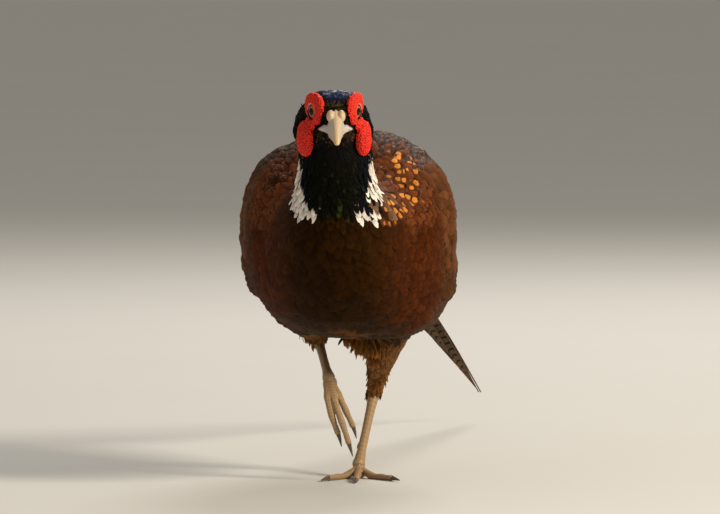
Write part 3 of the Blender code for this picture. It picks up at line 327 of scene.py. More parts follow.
def set_map(obj, coordinates):
    """The bake map, from one pair of coordinates for each point of the mesh."""
    corners = np.empty(len(obj.data.loops), np.int32)
    obj.data.loops.foreach_get("vertex_index", corners)
    layer = obj.data.uv_layers.new(name="OFBake")
    layer.data.foreach_set("uv", np.asarray(coordinates, np.float32)[corners].ravel())


def points_of(obj):
    found = np.empty(len(obj.data.vertices) * 3, np.float32)
    obj.data.vertices.foreach_get("co", found)
    return found.reshape(-1, 3).astype(float)


def triangles_of(obj):
    obj.data.calc_loop_triangles()
    found = np.empty(len(obj.data.loop_triangles) * 3, np.int32)
    obj.data.loop_triangles.foreach_get("vertices", found)
    return found.reshape(-1, 3)


def normals_of(obj):
    found = np.empty(len(obj.data.vertices) * 3, np.float32)
    obj.data.vertex_normals.foreach_get("vector", found)
    return found.reshape(-1, 3).astype(float)


def settled(obj):
    """The object with its modifiers turned into its own mesh."""
    graph = bpy.context.evaluated_depsgraph_get()
    mesh = bpy.data.meshes.new_from_object(obj.evaluated_get(graph))
    obj.modifiers.clear()
    obj.data = mesh
    return obj


def ball_of(centre, axes, sizes):
    """Points and triangles of a ball scaled to three half-sizes along three axes."""
    ball = bmesh.new()
    bmesh.ops.create_uvsphere(ball, u_segments=32, v_segments=20, radius=1.0)
    bmesh.ops.triangulate(ball, faces=ball.faces)
    points = np.array([v.co for v in ball.verts]) * sizes @ axes + centre
    triangles = np.array([[v.index for v in f.verts] for f in ball.faces])
    ball.free()
    return points, triangles


def remeshed(name, nodes, voxel, passes, swell=0.0, more=()):
    """The named nodes, and more shapes given as points and triangles, as one smooth closed mesh."""
    points, triangles, count = [], [], 0
    for node in nodes:
        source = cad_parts[node]
        points.append(points_of(source) + normals_of(source) * swell)
        triangles.append(triangles_of(source) + count)
        count += len(points[-1])
    for places, corners in more:
        points.append(places)
        triangles.append(corners + count)
        count += len(places)
    obj = mesh_of(name, np.concatenate(points), np.concatenate(triangles))
    bpy.context.view_layer.update()
    modifier = obj.modifiers.new("Remesh", "REMESH")
    modifier.mode, modifier.voxel_size = "VOXEL", voxel
    modifier.use_smooth_shade = True
    if passes:
        smoother = obj.modifiers.new("Smooth", "SMOOTH")
        smoother.factor, smoother.iterations = 0.5, passes
    return settled(obj)


def dressed(obj, material, slot, *nodes, body="root"):
    """Gives a piece its material and its body, and hides the nodes that it stands for. The slot is not used."""
    obj.data.materials.clear()
    obj.data.materials.append(material)
    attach(obj, body)
    if nodes:
        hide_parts(*nodes)
    return obj


class Lie:
    """The lie of the coat along a middle line: directions, and an unwrap by length and turn round it."""

    def __init__(self, points, power=LINE_POWER, legs=()):
        points = np.asarray(points, float)
        self.legs = [np.array(leg) * MM for leg in legs]
        self.keys = np.r_[0.0, np.cumsum(np.linalg.norm(np.diff(points, axis=0), axis=1))]
        fine = np.linspace(0.0, self.keys[-1], 120)
        self.length = self.keys[-1]
        self.fine, self.power = fine, power
        self.points = np.stack([np.interp(fine, self.keys, points[:, k]) for k in range(3)], axis=1)
        for _ in range(12):
            self.points[1:-1] = (self.points[:-2] + 2 * self.points[1:-1] + self.points[2:]) / 4
        self.ways = unit(np.gradient(self.points, axis=0))

    def weights(self, points):
        gap = ((points[:, None] - self.points[None]) ** 2).sum(axis=2)
        gap = gap / gap.min(axis=1, keepdims=True)
        weights = gap ** (-self.power)
        return weights / weights.sum(axis=1, keepdims=True)

    def directions(self, points):
        ways = np.concatenate([self.weights(p) @ self.ways for p in np.array_split(points, 12)])
        for hip, ankle in self.legs:
            leg = ankle - hip
            share = np.clip(((points - hip) @ leg) / (leg @ leg), 0, 1)
            gap = np.linalg.norm(points - hip - share[:, None] * leg, axis=1)
            near = smooth(34 * MM, 20 * MM, gap) * smooth(0.12, 0.45, share)
            ways = mixed(ways, unit(leg), near)
        return unit(ways)

    def unwrap(self, points):
        """Length along the line, from 0 to 1, and turn round it, from 0 to 1."""
        place, turn = [], []
        for part in np.array_split(points, 12):
            weights = self.weights(part)
            way = unit(weights @ self.ways)
            side = unit(np.cross(way, [[0.0, 1.0, 0.35]] * len(part)) + [[1e-6, 0.0, 0.0]])
            front = np.cross(way, side)
            out = part - weights @ self.points
            turn.append(np.arctan2((out * front).sum(axis=1), (out * side).sum(axis=1)) / (2 * math.pi) + 0.5)
            place.append(weights @ self.fine / self.length)
        return np.concatenate(place), np.concatenate(turn)


class Ground:
    """A mesh that feathers lie on."""

    def __init__(self, obj):
        self.points, self.triangles = points_of(obj), triangles_of(obj)
        self.tree = BVHTree.FromPolygons(self.points.tolist(), self.triangles.tolist())
        smooth_normals = normals_of(obj)
        self.normals = unit(smooth_normals[self.triangles].sum(axis=1))

    def nearest(self, points):
        """The nearest places on the mesh, with their normals."""
        shape = np.shape(points)
        flat = np.reshape(points, (-1, 3))
        places, faces = np.empty_like(flat), np.empty(len(flat), int)
        find = self.tree.find_nearest
        for i, point in enumerate(flat.tolist()):
            place, _, face, _ = find(point)
            places[i], faces[i] = place, face
        return places.reshape(shape), self.normals[faces].reshape(shape)

    def scatter(self, count):
        """Random points, even over the surface."""
        corners = self.points[self.triangles]
        areas = np.linalg.norm(np.cross(corners[:, 1] - corners[:, 0], corners[:, 2] - corners[:, 0]), axis=1)
        picked = rng.choice(len(areas), count, p=areas / areas.sum())
        a, b = rng.random(count), rng.random(count)
        a, b = np.where(a + b > 1, 1 - a, a), np.where(a + b > 1, 1 - b, b)
        corners = corners[picked]
        return corners[:, 0] + (corners[:, 1] - corners[:, 0]) * a[:, None] + (
            corners[:, 2] - corners[:, 0]) * b[:, None]


def thinned(points, order, spacing):
    """Indices of points that keep their own spacing to each other, taken in the given order."""
    cell = float(spacing.max())
    grid, kept = {}, []
    places, keys = points.tolist(), np.floor(points / cell).astype(int).tolist()
    near = [(i, j, k) for i in (-1, 0, 1) for j in (-1, 0, 1) for k in (-1, 0, 1)]
    for index in order.tolist():
        x, y, z = places[index]
        a, b, c = keys[index]
        limit = spacing[index] ** 2
        free = True
        for i, j, k in near:
            for u, v, w in grid.get((a + i, b + j, c + k), ()):
                if (u - x) ** 2 + (v - y) ** 2 + (w - z) ** 2 < limit:
                    free = False
                    break
            if not free:
                break
        if free:
            grid.setdefault((a, b, c), []).append((x, y, z))
            kept.append(index)
    return np.array(kept)


def vane_triangles(stations, columns):
    """Faces of one closed vane: rings of some points across its top and one under its middle."""
    ring = columns + 1
    faces = []
    for k in range(stations - 1):
        for i in range(ring):
            a, b = k * ring + i, k * ring + (i + 1) % ring
            faces += [(a, b, b + ring), (a, b + ring, a + ring)]
    last = (stations - 1) * ring
    for i in range(columns - 1):
        faces += [(columns, i + 1, i), (last + columns, last + i, last + i + 1)]
    return np.array(faces)


def many(faces, per_vane, count):
    return (faces[None] + (np.arange(count) * per_vane)[:, None, None]).reshape(-1, 3)


VANE_DEPTH = 0.22 * MM
# Outlines of a vane, as share of the length and of the half-width.
ROUND_TIP = ((0.0, 0.42), (0.25, 0.75), (0.5, 0.97), (0.7, 1.0), (0.84, 0.88), (0.94, 0.58), (1.0, 0.2))
NARROW_TIP = ((0.0, 0.5), (0.3, 0.9), (0.6, 1.0), (0.82, 0.66), (1.0, 0.12))
TINY_TIP = ((0.0, 0.6), (0.4, 1.0), (0.75, 0.75), (1.0, 0.1))
BODY_TIP = ((0.0, 0.5), (0.35, 0.9), (0.62, 1.0), (0.82, 0.86), (0.94, 0.52), (1.0, 0.16))
LONG_TIP = (
    (0.0, 0.5), (0.12, 0.85), (0.3, 1.0), (0.5, 1.0), (0.68, 0.97), (0.82, 0.85), (0.91, 0.66), (0.97, 0.40),
    (1.0, 0.12),
)


class Coat:
    """A set of like feathers laid over a ground, and the mesh made of them."""

    def __init__(self, outline, columns):
        self.outline = np.array(outline)
        self.columns = columns
        self.v = np.linspace(-1.0, 1.0, columns)

    def lay(self, ground, lie, roots, size, lift, turn=None, fray=0.0, cup=0.25, sink=0.6 * MM, level=0.0):
        """Lays a feather at each root. Size is a list of lengths and one of half-widths."""
        lengths, widths = size
        count, stations = len(roots), len(self.outline)
        u = self.outline[:, 0]
        turn = np.zeros(count) if turn is None else turn
        place = np.array(roots, float)
        centres, across, normals = (np.empty((count, stations, 3)) for _ in range(3))
        for k in range(stations):
            place, normal = ground.nearest(place)
            way = lie.directions(place)
            way = unit(way - normal * (way * normal).sum(axis=1, keepdims=True))
            side = np.cross(normal, way)
            way = way * np.cos(turn)[:, None] + side * np.sin(turn)[:, None]
            centres[:, k], normals[:, k] = place, normal
            across[:, k] = np.cross(normal, way)
            if k < stations - 1:
                place = place + way * (lengths * (u[k + 1] - u[k]))[:, None]
        half = widths[:, None] * self.outline[None, :, 1]
        v = self.v[None, None, :]
        spread = centres[:, :, None] + across[:, :, None] * (half[:, :, None] * v)[..., None]
        outer = [0, self.columns - 1]
        spread[:, :, outer] = ground.nearest(spread[:, :, outer])[0]
        middle = self.columns // 2
        for j in range(1, self.columns - 1):
            if j != middle:
                edge = 0 if j < middle else self.columns - 1
                flat = centres + (spread[:, :, edge] - centres) * abs(self.v[j])
                bow = (centres + across * (half * self.v[j])[..., None] - flat)
                bow = (bow * normals).sum(axis=2, keepdims=True) * normals
                spread[:, :, j] = flat + bow * (1 - abs(self.v[j]))
        along = unit(np.gradient(centres, axis=1))
        rise = lift[:, None] * u[None] ** 0.8 - sink * (1 - u[None]) ** 3 + np.reshape(level, (-1, 1))
        height = rise[:, :, None] * (1 - cup * v**2)
        if fray:
            late = smooth(0.45, 1.0, u)[None, :, None]
            wild = rng.uniform(-1, 1, (count, stations, self.columns)) * late
            spread += along[:, :, None] * (wild * (lengths * fray)[:, None, None])[..., None]
            height += rng.uniform(-0.5, 1, (count, stations, self.columns)) * late * lift[:, None, None] * 0.25
        top = spread + normals[:, :, None] * height[..., None]
        return self.close(top, normals)

    def free(self, centres, across, normals, widths, camber, fray=0.0):
        """Feathers along routes of their own: centres, sides and normals of each one at each station."""
        self.count = len(centres)
        late = smooth(0.3, 1.0, self.outline[:, 0])[None, :, None]
        wild = 1 + fray * rng.uniform(-1, 1, (self.count, len(self.outline), self.columns)) * late
        half = widths[:, None, None] * self.outline[None, :, 1:2] * self.v[None, None, :] * wild
        bow = (np.reshape(camber, (-1, 1, 1)) * (1 - self.v**2))[..., None] * normals[:, :, None]
        return self.close(centres[:, :, None] + across[:, :, None] * half[..., None] + bow, normals)

    def close(self, top, normals):
        under = top[:, :, self.columns // 2] - normals * VANE_DEPTH
        self.points = np.concatenate([top, under[:, :, None]], axis=2)
        self.count = len(top)
        return self

    def mesh(self, name, lie, looks, material, slot, *nodes, sharp=50.0):
        """The mesh of these feathers, with what the material reads of each one."""
        stations, ring = len(self.outline), self.columns + 1
        per_vane = stations * ring
        faces = many(vane_triangles(stations, self.columns), per_vane, self.count)
        obj = mesh_of(name, self.points, faces, sharp)
        u = np.tile(np.repeat(self.outline[:, 0], ring), self.count)
        v = np.tile(np.r_[self.v, 0.0], stations * self.count)
        paint(obj, "along", u)
        paint(obj, "aside", v)
        paint(obj, "share", np.repeat(rng.random(self.count), per_vane))
        for key, values in looks.items():
            paint(obj, key, np.repeat(np.asarray(values, float), per_vane, axis=0))
        if lie is None:
            rows = math.ceil(math.sqrt(self.count))
            spot = 0.92 / rows
            base = np.stack([np.arange(self.count) % rows, np.arange(self.count) // rows], axis=1) / rows
        else:
            place, turn = lie.unwrap(self.points[:, 0, 0])
            spot = 0.003
            base = np.stack([turn * (1 - spot), place * (1 - spot)], axis=1)
        base = base.repeat(per_vane, axis=0)
        set_map(obj, base + spot * np.stack([v / 2 + 0.5, u], axis=1))
        return dressed(obj, material, slot, *nodes)


def plumage():
    """Feathers: their own ground colour, a band along the edge, a spot near the tip, cross bars and barbs."""
    g = Graph("plumage")
    u, v, share = g.attribute("along"), g.attribute("aside"), g.attribute("share")
    ground, edge, spot = (g.attribute(name, "Color") for name in ("ground", "edge", "spot"))
    marks = g.node("ShaderNodeSeparateColor", {0: g.attribute("marks", "Color")}).outputs
    finish = g.node("ShaderNodeSeparateColor", {0: g.attribute("finish", "Color")}).outputs
    aside = g.math("ABSOLUTE", v)
    rough = g.noise(900.0, 2.0)
    tip = g.math("MULTIPLY", g.math("MAXIMUM", g.math("SUBTRACT", u, 0.62), 0.0), 2.5)
    flank = g.math("MULTIPLY", v, 0.82)
    rim = g.math("SQRT", g.math("ADD", g.math("MULTIPLY", tip, tip), g.math("MULTIPLY", flank, flank)))
    rim = g.math("ADD", rim, g.math("MULTIPLY", g.math("SUBTRACT", rough, 0.5), 0.30))
    start = g.math("SUBTRACT", 1.0, marks[0])
    band = g.step(g.math("SUBTRACT", rim, start), -0.07, 0.07)
    band = g.math("MULTIPLY", band, g.step(marks[0], 0.0, 0.05))
    banded = g.step(marks[0], 0.0, 0.05)
    across = g.math("DIVIDE", v, 0.62)
    down = g.math("DIVIDE", g.math("SUBTRACT", u, 0.74), 0.17)
    round_spot = g.math("SQRT", g.math("ADD", g.math("MULTIPLY", across, across), g.math("MULTIPLY", down, down)))
    round_spot = g.math("ADD", round_spot, g.math("MULTIPLY", g.math("SUBTRACT", rough, 0.5), 0.35))
    dot = g.math("MULTIPLY", g.step(g.math("SUBTRACT", round_spot, marks[1]), -0.12, 0.12, 1.0, 0.0),
                 g.step(marks[1], 0.0, 0.05))
    ragged = g.math("ADD", u, g.math("MULTIPLY", g.math("SUBTRACT", rough, 0.5), 0.10))
    dash = g.math("MULTIPLY", g.step(ragged, 0.80, 0.87), marks[1])
    dot = g.math("ADD", g.math("MULTIPLY", dot, banded), g.math("MULTIPLY", dash, g.math("SUBTRACT", 1.0, banded)))
    bars = g.math("MULTIPLY", finish[2], BAR_LIMIT)
    phase = g.math("ADD", g.math("MULTIPLY", u, bars), g.math("MULTIPLY", aside, -0.30))
    phase = g.math("ADD", phase, g.math("MULTIPLY", share, marks[2]))
    phase = g.math("FRACT", g.math("ADD", phase, g.math("MULTIPLY", g.math("SUBTRACT", rough, 0.5), 0.30)))
    bar = g.step(g.math("ABSOLUTE", g.math("SUBTRACT", phase, 0.5)), 0.10, 0.20, 1.0, 0.0)
    bar = g.math("MULTIPLY", bar, g.step(finish[2], 0.0, 0.02))
    barb = g.math("SUBTRACT", g.math("MULTIPLY", u, 60.0), g.math("MULTIPLY", aside, 14.0))
    barb = g.math("SINE", g.math("ADD", barb, g.math("MULTIPLY", rough, 5.0)))
    shaft = g.step(aside, 0.0, 0.10, 1.0, 0.0)
    colour = g.mix(g.math("MAXIMUM", dot, bar), ground, spot)
    colour = g.mix(band, colour, edge)
    tone = g.math("ADD", g.math("MULTIPLY", barb, 0.08), g.math("MULTIPLY", g.noise(260.0, 3.0), 0.5))
    tone = g.math("ADD", g.math("ADD", tone, g.math("MULTIPLY", share, 0.42)), 0.42)
    tone = g.math("MULTIPLY", tone, g.step(u, 0.35, 0.90, 0.78, 1.22))
    colour = g.mix(1.0, colour, g.node("ShaderNodeCombineColor", {0: tone, 1: tone, 2: tone}).outputs[0], "MULTIPLY")
    colour = g.mix(g.math("MULTIPLY", shaft, marks[2]), colour, edge)
    height = g.math("ADD", g.math("MULTIPLY", barb, 0.5), shaft)
    return g.finish(
        Base_Color=colour, Metallic=finish[0], Roughness=finish[1], Specular_IOR_Level=0.06,
        Specular_Tint=(0.45, 0.36, 0.28),
        Normal=g.bump(height, 0.35, 0.12 * MM),
    )


def collar_edges(x, y, z):
    """Lower and upper edge of the collar, and the turn from the front, for points in the bird's own frame."""
    around = np.degrees(np.arctan2(np.abs(x - NECK_MIDDLE), np.interp(z, *NECK_AXIS) - y))
    return np.interp(around, COLLAR_TURNS, COLLAR_LOW), np.interp(around, COLLAR_TURNS, COLLAR_HIGH), around


def leg_nearness(points):
    """1 on the feathered legs and 0 away from them."""
    near = np.zeros(len(points))
    for leg in LEGS:
        hip, ankle = np.array(leg) * MM
        way = ankle - hip
        share = np.clip(((points - hip) @ way) / (way @ way), 0, 1.2)
        gap = np.linalg.norm(points - hip - share[:, None] * way, axis=1)
        near = np.maximum(near, smooth(0.22, 0.34, share) * smooth(26 * MM, 22 * MM, gap))
    return near


def coat_looks(roots):
    """Colours and marks of body feathers, from where they grow."""
    x, y, z = world_to_trunk(roots).T
    forward, left, up = world_to_head(roots).T / MM
    x, y, z = x / MM, y / MM, z / MM
    count = len(roots)
    chance = rng.random((count, 4))
    turn = np.degrees(np.arctan2(z - 185.0, np.abs(x)))
    ground, edge, spot = (np.zeros((count, 3)) for _ in range(3))
    marks, finish = np.zeros((count, 3)), np.zeros((count, 3))

    def put(share, base, rim, dot, band, size, shaft, metal, roughness):
        nonlocal ground, edge, spot, marks, finish
        share = np.asarray(share, float)
        ground, edge, spot = (mixed(a, b, share) for a, b in ((ground, base), (edge, rim), (spot, dot)))
        new = np.stack([np.broadcast_to(value, count) for value in (band, size, shaft)], axis=1)
        marks = mixed(marks, new, share)
        new = np.stack([np.broadcast_to(value, count) for value in (metal, roughness, 0.0)], axis=1)
        finish = mixed(finish, new, share)

    wobble = 5.0 * np.sin(x * 0.21 + y * 0.17) + 4.0 * np.sin(z * 0.3 - y * 0.11)
    dark = np.array([0.006, 0.004, 0.005])
    # Painted shade: the breast is painted much darker towards its middle at the front, where it faces away from the
    # light; its sides keep the bright chestnut.
    middle = smooth(58, 18, np.abs(x)) * smooth(-90, -125, y)
    dashed = (chance[:, 3] < 0.85) * rng.uniform(0.6, 1.0, count)
    fringe = 0.11 + 0.07 * chance[:, 1]
    breast_colour_and_shade = mixed((0.070, 0.0150, 0.0012), (0.023, 0.0080, 0.0004), middle)
    put(np.ones(count), breast_colour_and_shade, mixed(dark, breast_colour_and_shade, 0.35 + 0.5 * middle), dark, fringe, 0.0, 0.0, 0.05, 0.62)
    flank = smooth(-62, -40, turn) * smooth(24, 0, turn + wobble * 0.5) * smooth(-98, -60, y)
    put(flank, (0.075, 0.0255, 0.0022), (0.110, 0.044, 0.005), dark, 0.0, dashed, 0.15, 0.05, 0.62)
    belly = smooth(-48, -68, turn + wobble) * smooth(-135, -90, y)
    put(belly, (0.030, 0.0150, 0.0022), (0.040, 0.022, 0.004), dark, 0.2, 0.0, 0.0, 0.05, 0.65)
    tuft = smooth(134, 122, z) * smooth(-130, -116, y) * smooth(14, 6, np.abs(x - 8) + wobble)
    tuft = np.maximum(tuft, smooth(140, 122, z) * smooth(-84, -56, y) * smooth(30, 16, np.abs(x - 8) + wobble))
    put(tuft * (chance[:, 0] < 0.6), (0.090, 0.031, 0.006), (0.15, 0.056, 0.012), dark, 0.2, 0.0, 0.2, 0.0, 0.7)
    shoulder = smooth(4, 24, turn + wobble * 0.6) * smooth(-40, -58, y + wobble) * smooth(-135, -118, y)
    put(shoulder, (0.150, 0.040, 0.010), mixed(dark, (0.150, 0.040, 0.010), 0.15), dark, fringe + 0.05, 0.0, 0.0,
        0.05, 0.60)
    mantle = smooth(26, 38, turn + wobble * 0.5) * smooth(-44, -58, y + wobble) * smooth(-118, -104, y)
    put(mantle * (chance[:, 1] < 0.55), (0.055, 0.019, 0.009), (0.210, 0.098, 0.058), (0.16, 0.055, 0.018), 0.20,
        0.4, 0.2, 0.05, 0.6)
    near = smooth(-62, -70, y) * smooth(24, 30, turn) * smooth(54, 49, x) * smooth(27, 32, x)
    near = near * smooth(246, 239, z) * smooth(203, 209, z)
    gold = (chance[:, 0] < 0.72) * near
    put(gold, (0.145, 0.045, 0.014), dark, (0.66, 0.245, 0.040), 0.12,
        0.75 + 0.40 * chance[:, 1], 0.2, 0.0, 0.6)
    back = smooth(26, 42, turn + wobble * 0.5) * smooth(-66, -50, y + wobble)
    put(back, (0.045, 0.024, 0.017), (0.125, 0.078, 0.064), (0.20, 0.105, 0.055), 0.28, 0.50, 0.3, 0.05, 0.6)
    rump = smooth(14, 30, turn) * smooth(36, 58, y + wobble)
    put(rump, (0.125, 0.135, 0.115), (0.205, 0.195, 0.185), (0.07, 0.08, 0.05), 0.30, 0.5, 0.3, 0.1, 0.5)
    side_rump = smooth(34, 10, np.abs(turn - 8)) * smooth(70, 95, y)
    put(side_rump, (0.20, 0.065, 0.022), (0.16, 0.05, 0.02), dark, 0.2, 0.0, 0.1, 0.05, 0.6)
    vent = smooth(-20, -45, turn) * smooth(70, 100, y)
    put(vent, (0.055, 0.026, 0.014), (0.16, 0.06, 0.02), dark, 0.2, 0.0, 0.1, 0.0, 0.7)

    # Neck and collar, by height and by turn from the front round the neck.
    low, high, around = collar_edges(x, y, z - COLLAR_DROP)
    frayed = 1.6 * np.sin(around * 0.55 + np.sign(x) * 1.7) + 1.0 * np.sin(around * 1.7)
    tall = z - COLLAR_DROP
    reach = np.hypot(x - NECK_MIDDLE, y - np.interp(tall, *NECK_AXIS))
    close = smooth(42, 37, reach) * (y < -85)
    neck = smooth(-1.5, 1.0, tall - low - frayed * 0.5) * close
    side = np.clip(np.abs(x) / 30.0, 0, 1)
    gloss = mixed((0.0042, 0.0048, 0.0022), (0.004, 0.006, 0.012), smooth(0.35, 0.9, side))
    gloss = mixed(gloss, (0.012, 0.016, 0.006), (chance[:, 1] < 0.15) * 0.7)
    glint = (chance[:, 2] < 0.16) * smooth(206, 210, z) * smooth(224, 219, z) * (np.abs(x - 9) < 9)
    gloss = mixed(gloss, (0.026, 0.034, 0.007), glint)
    put((neck > 0.5) * 1.0, gloss, gloss * 0.5, dark, 0.28, 0.0, 0.0, 0.15, 0.62)
    ring = smooth(-1.0, 0.8, tall - low - frayed) * smooth(-1.0, 0.8, high + frayed - tall) * close
    ring = ring * smooth(np.where(x > 0, 18.0, 10.0), np.where(x > 0, 22.0, 14.0), around)
    ring = ring * np.where(x > 0, 1 - smooth(5.5, 4, np.abs(tall - 212)) * smooth(76, 68, around), 1)
    put((ring > 0.5) * 1.0, (0.72, 0.65, 0.57), (0.80, 0.74, 0.66), dark, 0.25, 0.0, 0.0, 0.0, 0.6)

    head = smooth(-36, -30, up) * (y < -135)
    teal = mixed((0.0055, 0.006, 0.006), (0.006, 0.020, 0.022), smooth(-2, 8, up) * smooth(12, 2, forward))
    teal = mixed(teal, (0.010, 0.024, 0.085), smooth(9, 12, up))
    # Painted highlight: some feathers along the top of the crown are painted pale blue-white, where the light falls on
    # it.
    crown_highlight_streak = (chance[:, 3] < 0.34) * smooth(12.0, 13.5, up)
    teal = mixed(teal, (0.44, 0.51, 0.60), crown_highlight_streak * 0.85)
    put(head, teal, teal * 0.5, dark, 0.2, 0.0, 0.0, 0.3, 0.45)
    fleck = (chance[:, 2] < 0.36) * smooth(4, 9, forward) * smooth(0, 3.5, up) * smooth(12, 9, up)
    put(head * fleck, (0.095, 0.060, 0.014), (0.03, 0.022, 0.008), dark, 0.2, 0.0, 0.0, 0.3, 0.45)
    cheek = (chance[:, 2] > 0.70) * smooth(2, 8, forward) * smooth(-5, -9, up) * smooth(-24, -18, up)
    put(head * cheek, (0.085, 0.042, 0.012), dark, dark, 0.2, 0.0, 0.0, 0.2, 0.5)
    thigh = (leg_nearness(roots) > 0.5) * 1.0
    put(thigh, (0.150, 0.066, 0.022), (0.30, 0.150, 0.052), dark, 0.14, 0.0, 0.4, 0.0, 0.75)
    stray = (chance[:, 1] < 0.6) * (np.abs(x - 30) < 6) * (np.abs(tall - 209) < 7) * close
    put(stray * (ring < 0.5), (0.150, 0.075, 0.034), (0.22, 0.125, 0.066), dark, 0.2, 0.0, 0.3, 0.0, 0.7)
    return {"ground": ground, "edge": edge, "spot": spot, "marks": marks, "finish": finish}


def coat_sizes(roots):
    """Spacing, length and half-width of body feathers, from where they grow."""
    x, y, z = world_to_trunk(roots).T / MM
    forward, left, up = world_to_head(roots).T / MM
    turn = np.degrees(np.arctan2(z - 185.0, np.abs(x)))
    spacing = 4.9 + 0.6 * smooth(-60, -20, y) + 0.8 * smooth(-20, 40, y) - 0.6 * smooth(60, 120, y)
    low, _, _ = collar_edges(x, y, z)
    neck = smooth(-4.0, 8.0, z - low) * smooth(-85, -105, y)
    spacing = spacing + (3.1 - spacing) * neck
    high = smooth(-46, -30, up) * smooth(-125, -140, y)
    spacing = spacing + (2.0 - spacing) * high
    face = smooth(2, 14, forward) * high
    spacing = spacing + (1.3 - spacing) * face
    leg = leg_nearness(roots)
    spacing = spacing + (3.6 - spacing) * leg
    length = spacing * (3.0 + 1.0 * leg)
    width = spacing * (0.80 - 0.18 * neck - 0.10 * high - 0.22 * leg)
    raised = 2.4 * smooth(24, 44, turn - 16 * (x > 0)) * smooth(-128, -100, y) * smooth(70, 20, y) + 0.8 * leg
    lower = smooth(-19, -28, turn) * smooth(-62, -44, turn) * smooth(-115, -85, y) * smooth(60, 20, y)
    raised = raised + np.where(x > 0, 2.0, 3.0) * lower
    raised = raised + 2.4 * smooth(50, 60, turn) * smooth(80, 70, turn) * smooth(-86, -60, y) * (
        smooth(60, 20, y) * (x > 0))
    raised = raised + 2.4 * smooth(14, 24, np.abs(x)) * smooth(226, 238, z) * smooth(-120, -135, y) * (1 - high)
    cheeks = smooth(14, 22, np.abs(left)) * smooth(-3, -10, forward) * smooth(-2, -10, up) * smooth(-62, -48, up)
    raised = np.maximum(raised, 2.6 * cheeks * smooth(-125, -140, y))
    return spacing * MM, length * MM, width * MM, raised * MM


def make_skin():
    """One skin under the whole coat, with the coat's own markings."""
    skin = remeshed("skin", SKIN_NODES, SKIN_VOXEL, 14, SKIN_SWELL)
    points, normals = points_of(skin), normals_of(skin)
    up = world_to_head(points)[:, 2] / MM
    depth = SKIN_SWELL + 1.5 * MM - 0.8 * MM * smooth(-46, -30, up) * (points[:, 1] < -0.13)
    points = points - normals * depth[:, None]
    skin.data.vertices.foreach_set("co", points.astype(np.float32).ravel())
    skin.data.update()
    looks = coat_looks(points)
    paint(skin, "ground", looks["ground"] * 0.7)
    return skin


def skin_material():
    g = Graph("skin")
    ground = g.attribute("ground", "Color")
    grain = g.noise(700.0, 3.0)
    colour = g.mix(g.math("MULTIPLY", grain, 0.6), ground, (0.012, 0.009, 0.008))
    return g.finish(Base_Color=colour, Roughness=0.85, Specular_IOR_Level=0.02,
                    Normal=g.bump(grain, 0.4, 0.3 * MM))


def make_body_coat(skin, material):
    """Body feathers on torso, neck, head and thighs, in several pieces."""
    ground = Ground(skin)
    lie = trunk_lie()
    roots = ground.scatter(90000)
    place, _ = lie.unwrap(roots)
    spacing, lengths, widths, raised = coat_sizes(roots)
    kept = thinned(roots, np.argsort(place), spacing)
    kept = kept[bare_face(roots[kept])]
    kept = kept[~under_wing(roots[kept])]
    kept = kept[~below_ankle(roots[kept])]
    roots, spacing, lengths, widths, raised, place = (
        values[kept] for values in (roots, spacing, lengths, widths, raised, place))
    fine = spacing < 2.5 * MM
    middle = (spacing < 4.3 * MM) & ~fine
    rear = place > np.median(place[~fine & ~middle])
    for name, chosen, outline, columns, slot in (
        ("coat_head", fine, TINY_TIP, 3, "head_feather"),
        ("coat_neck", middle, BODY_TIP, 5, "neck_feather"),
        ("coat_front", ~fine & ~middle & ~rear, BODY_TIP, 5, "body_feather"),
        ("coat_rear", ~fine & ~middle & rear, BODY_TIP, 5, "body_feather"),
    ):
        count = int(chosen.sum())
        size = (lengths[chosen] * rng.uniform(0.9, 1.15, count), widths[chosen] * rng.uniform(0.9, 1.1, count))
        lift = spacing[chosen] * 0.20 * rng.uniform(0.6, 1.4, count)
        turn = rng.normal(0, 0.12, count)
        coat = Coat(outline, columns)
        coat.lay(ground, lie, roots[chosen], size, lift, turn, fray=0.09, level=raised[chosen])
        coat.mesh(name, lie, coat_looks(roots[chosen]), material, slot)
    return ground, lie


def under_wing(roots):
    """Whether the wing's own feathers hide this place."""
    x, y, z = world_to_trunk(roots).T / MM
    turn = np.degrees(np.arctan2(z - 185.0, np.abs(x)))
    return (turn > -18) & (turn < 32) & (y > -36) & (y < 56)


def below_ankle(roots):
    """Whether this place is past the end of the feathered leg."""
    past = np.zeros(len(roots), bool)
    for leg in LEGS:
        hip, ankle = np.array(leg) * MM
        way = ankle - hip
        past |= (((roots - hip) @ way) / (way @ way) > 0.97) & (np.linalg.norm(roots - ankle, axis=1) < 0.03)
    return past


def bare_face(roots):
    """Whether feathers grow here: not where eyes, wattles and bill are."""
    forward, left, up = world_to_head(roots).T / MM
    left = np.abs(left)
    mask = np.ones(len(roots), bool)
    for f, l, u, a, b, c in WATTLE_BULBS:
        mask &= ((forward - f) / a) ** 2 + ((left - l) / b) ** 2 + ((up - u) / c) ** 2 > 1.0
    beak = (forward > 13.5) & (np.abs(up + 4) < 10.5) & (left < 9.5)
    gape = (forward > 12.0) & (np.abs(up + 7.6) < 3.8) & (left < 13.5)
    return mask & ~beak & ~gape


def trunk_lie():
    head = head_to_world([(f * MM, 0.0, u * MM) for f, u in HEAD_LINE])
    trunk = trunk_to_world([(0.0, y * MM, z * MM) for y, z in TRUNK_LINE])
    return Lie(np.concatenate([head, trunk]), legs=LEGS)


def wing_root(y, turns, side):
    """Points outside the wing at a station and at turns round the trunk, in degrees."""
    turns = np.radians(turns)
    reach = 84 * MM
    points = np.stack([side * np.cos(turns) * reach, np.full(len(turns), y * MM),
                       185 * MM + np.sin(turns) * reach], axis=1)
    return trunk_to_world(points)


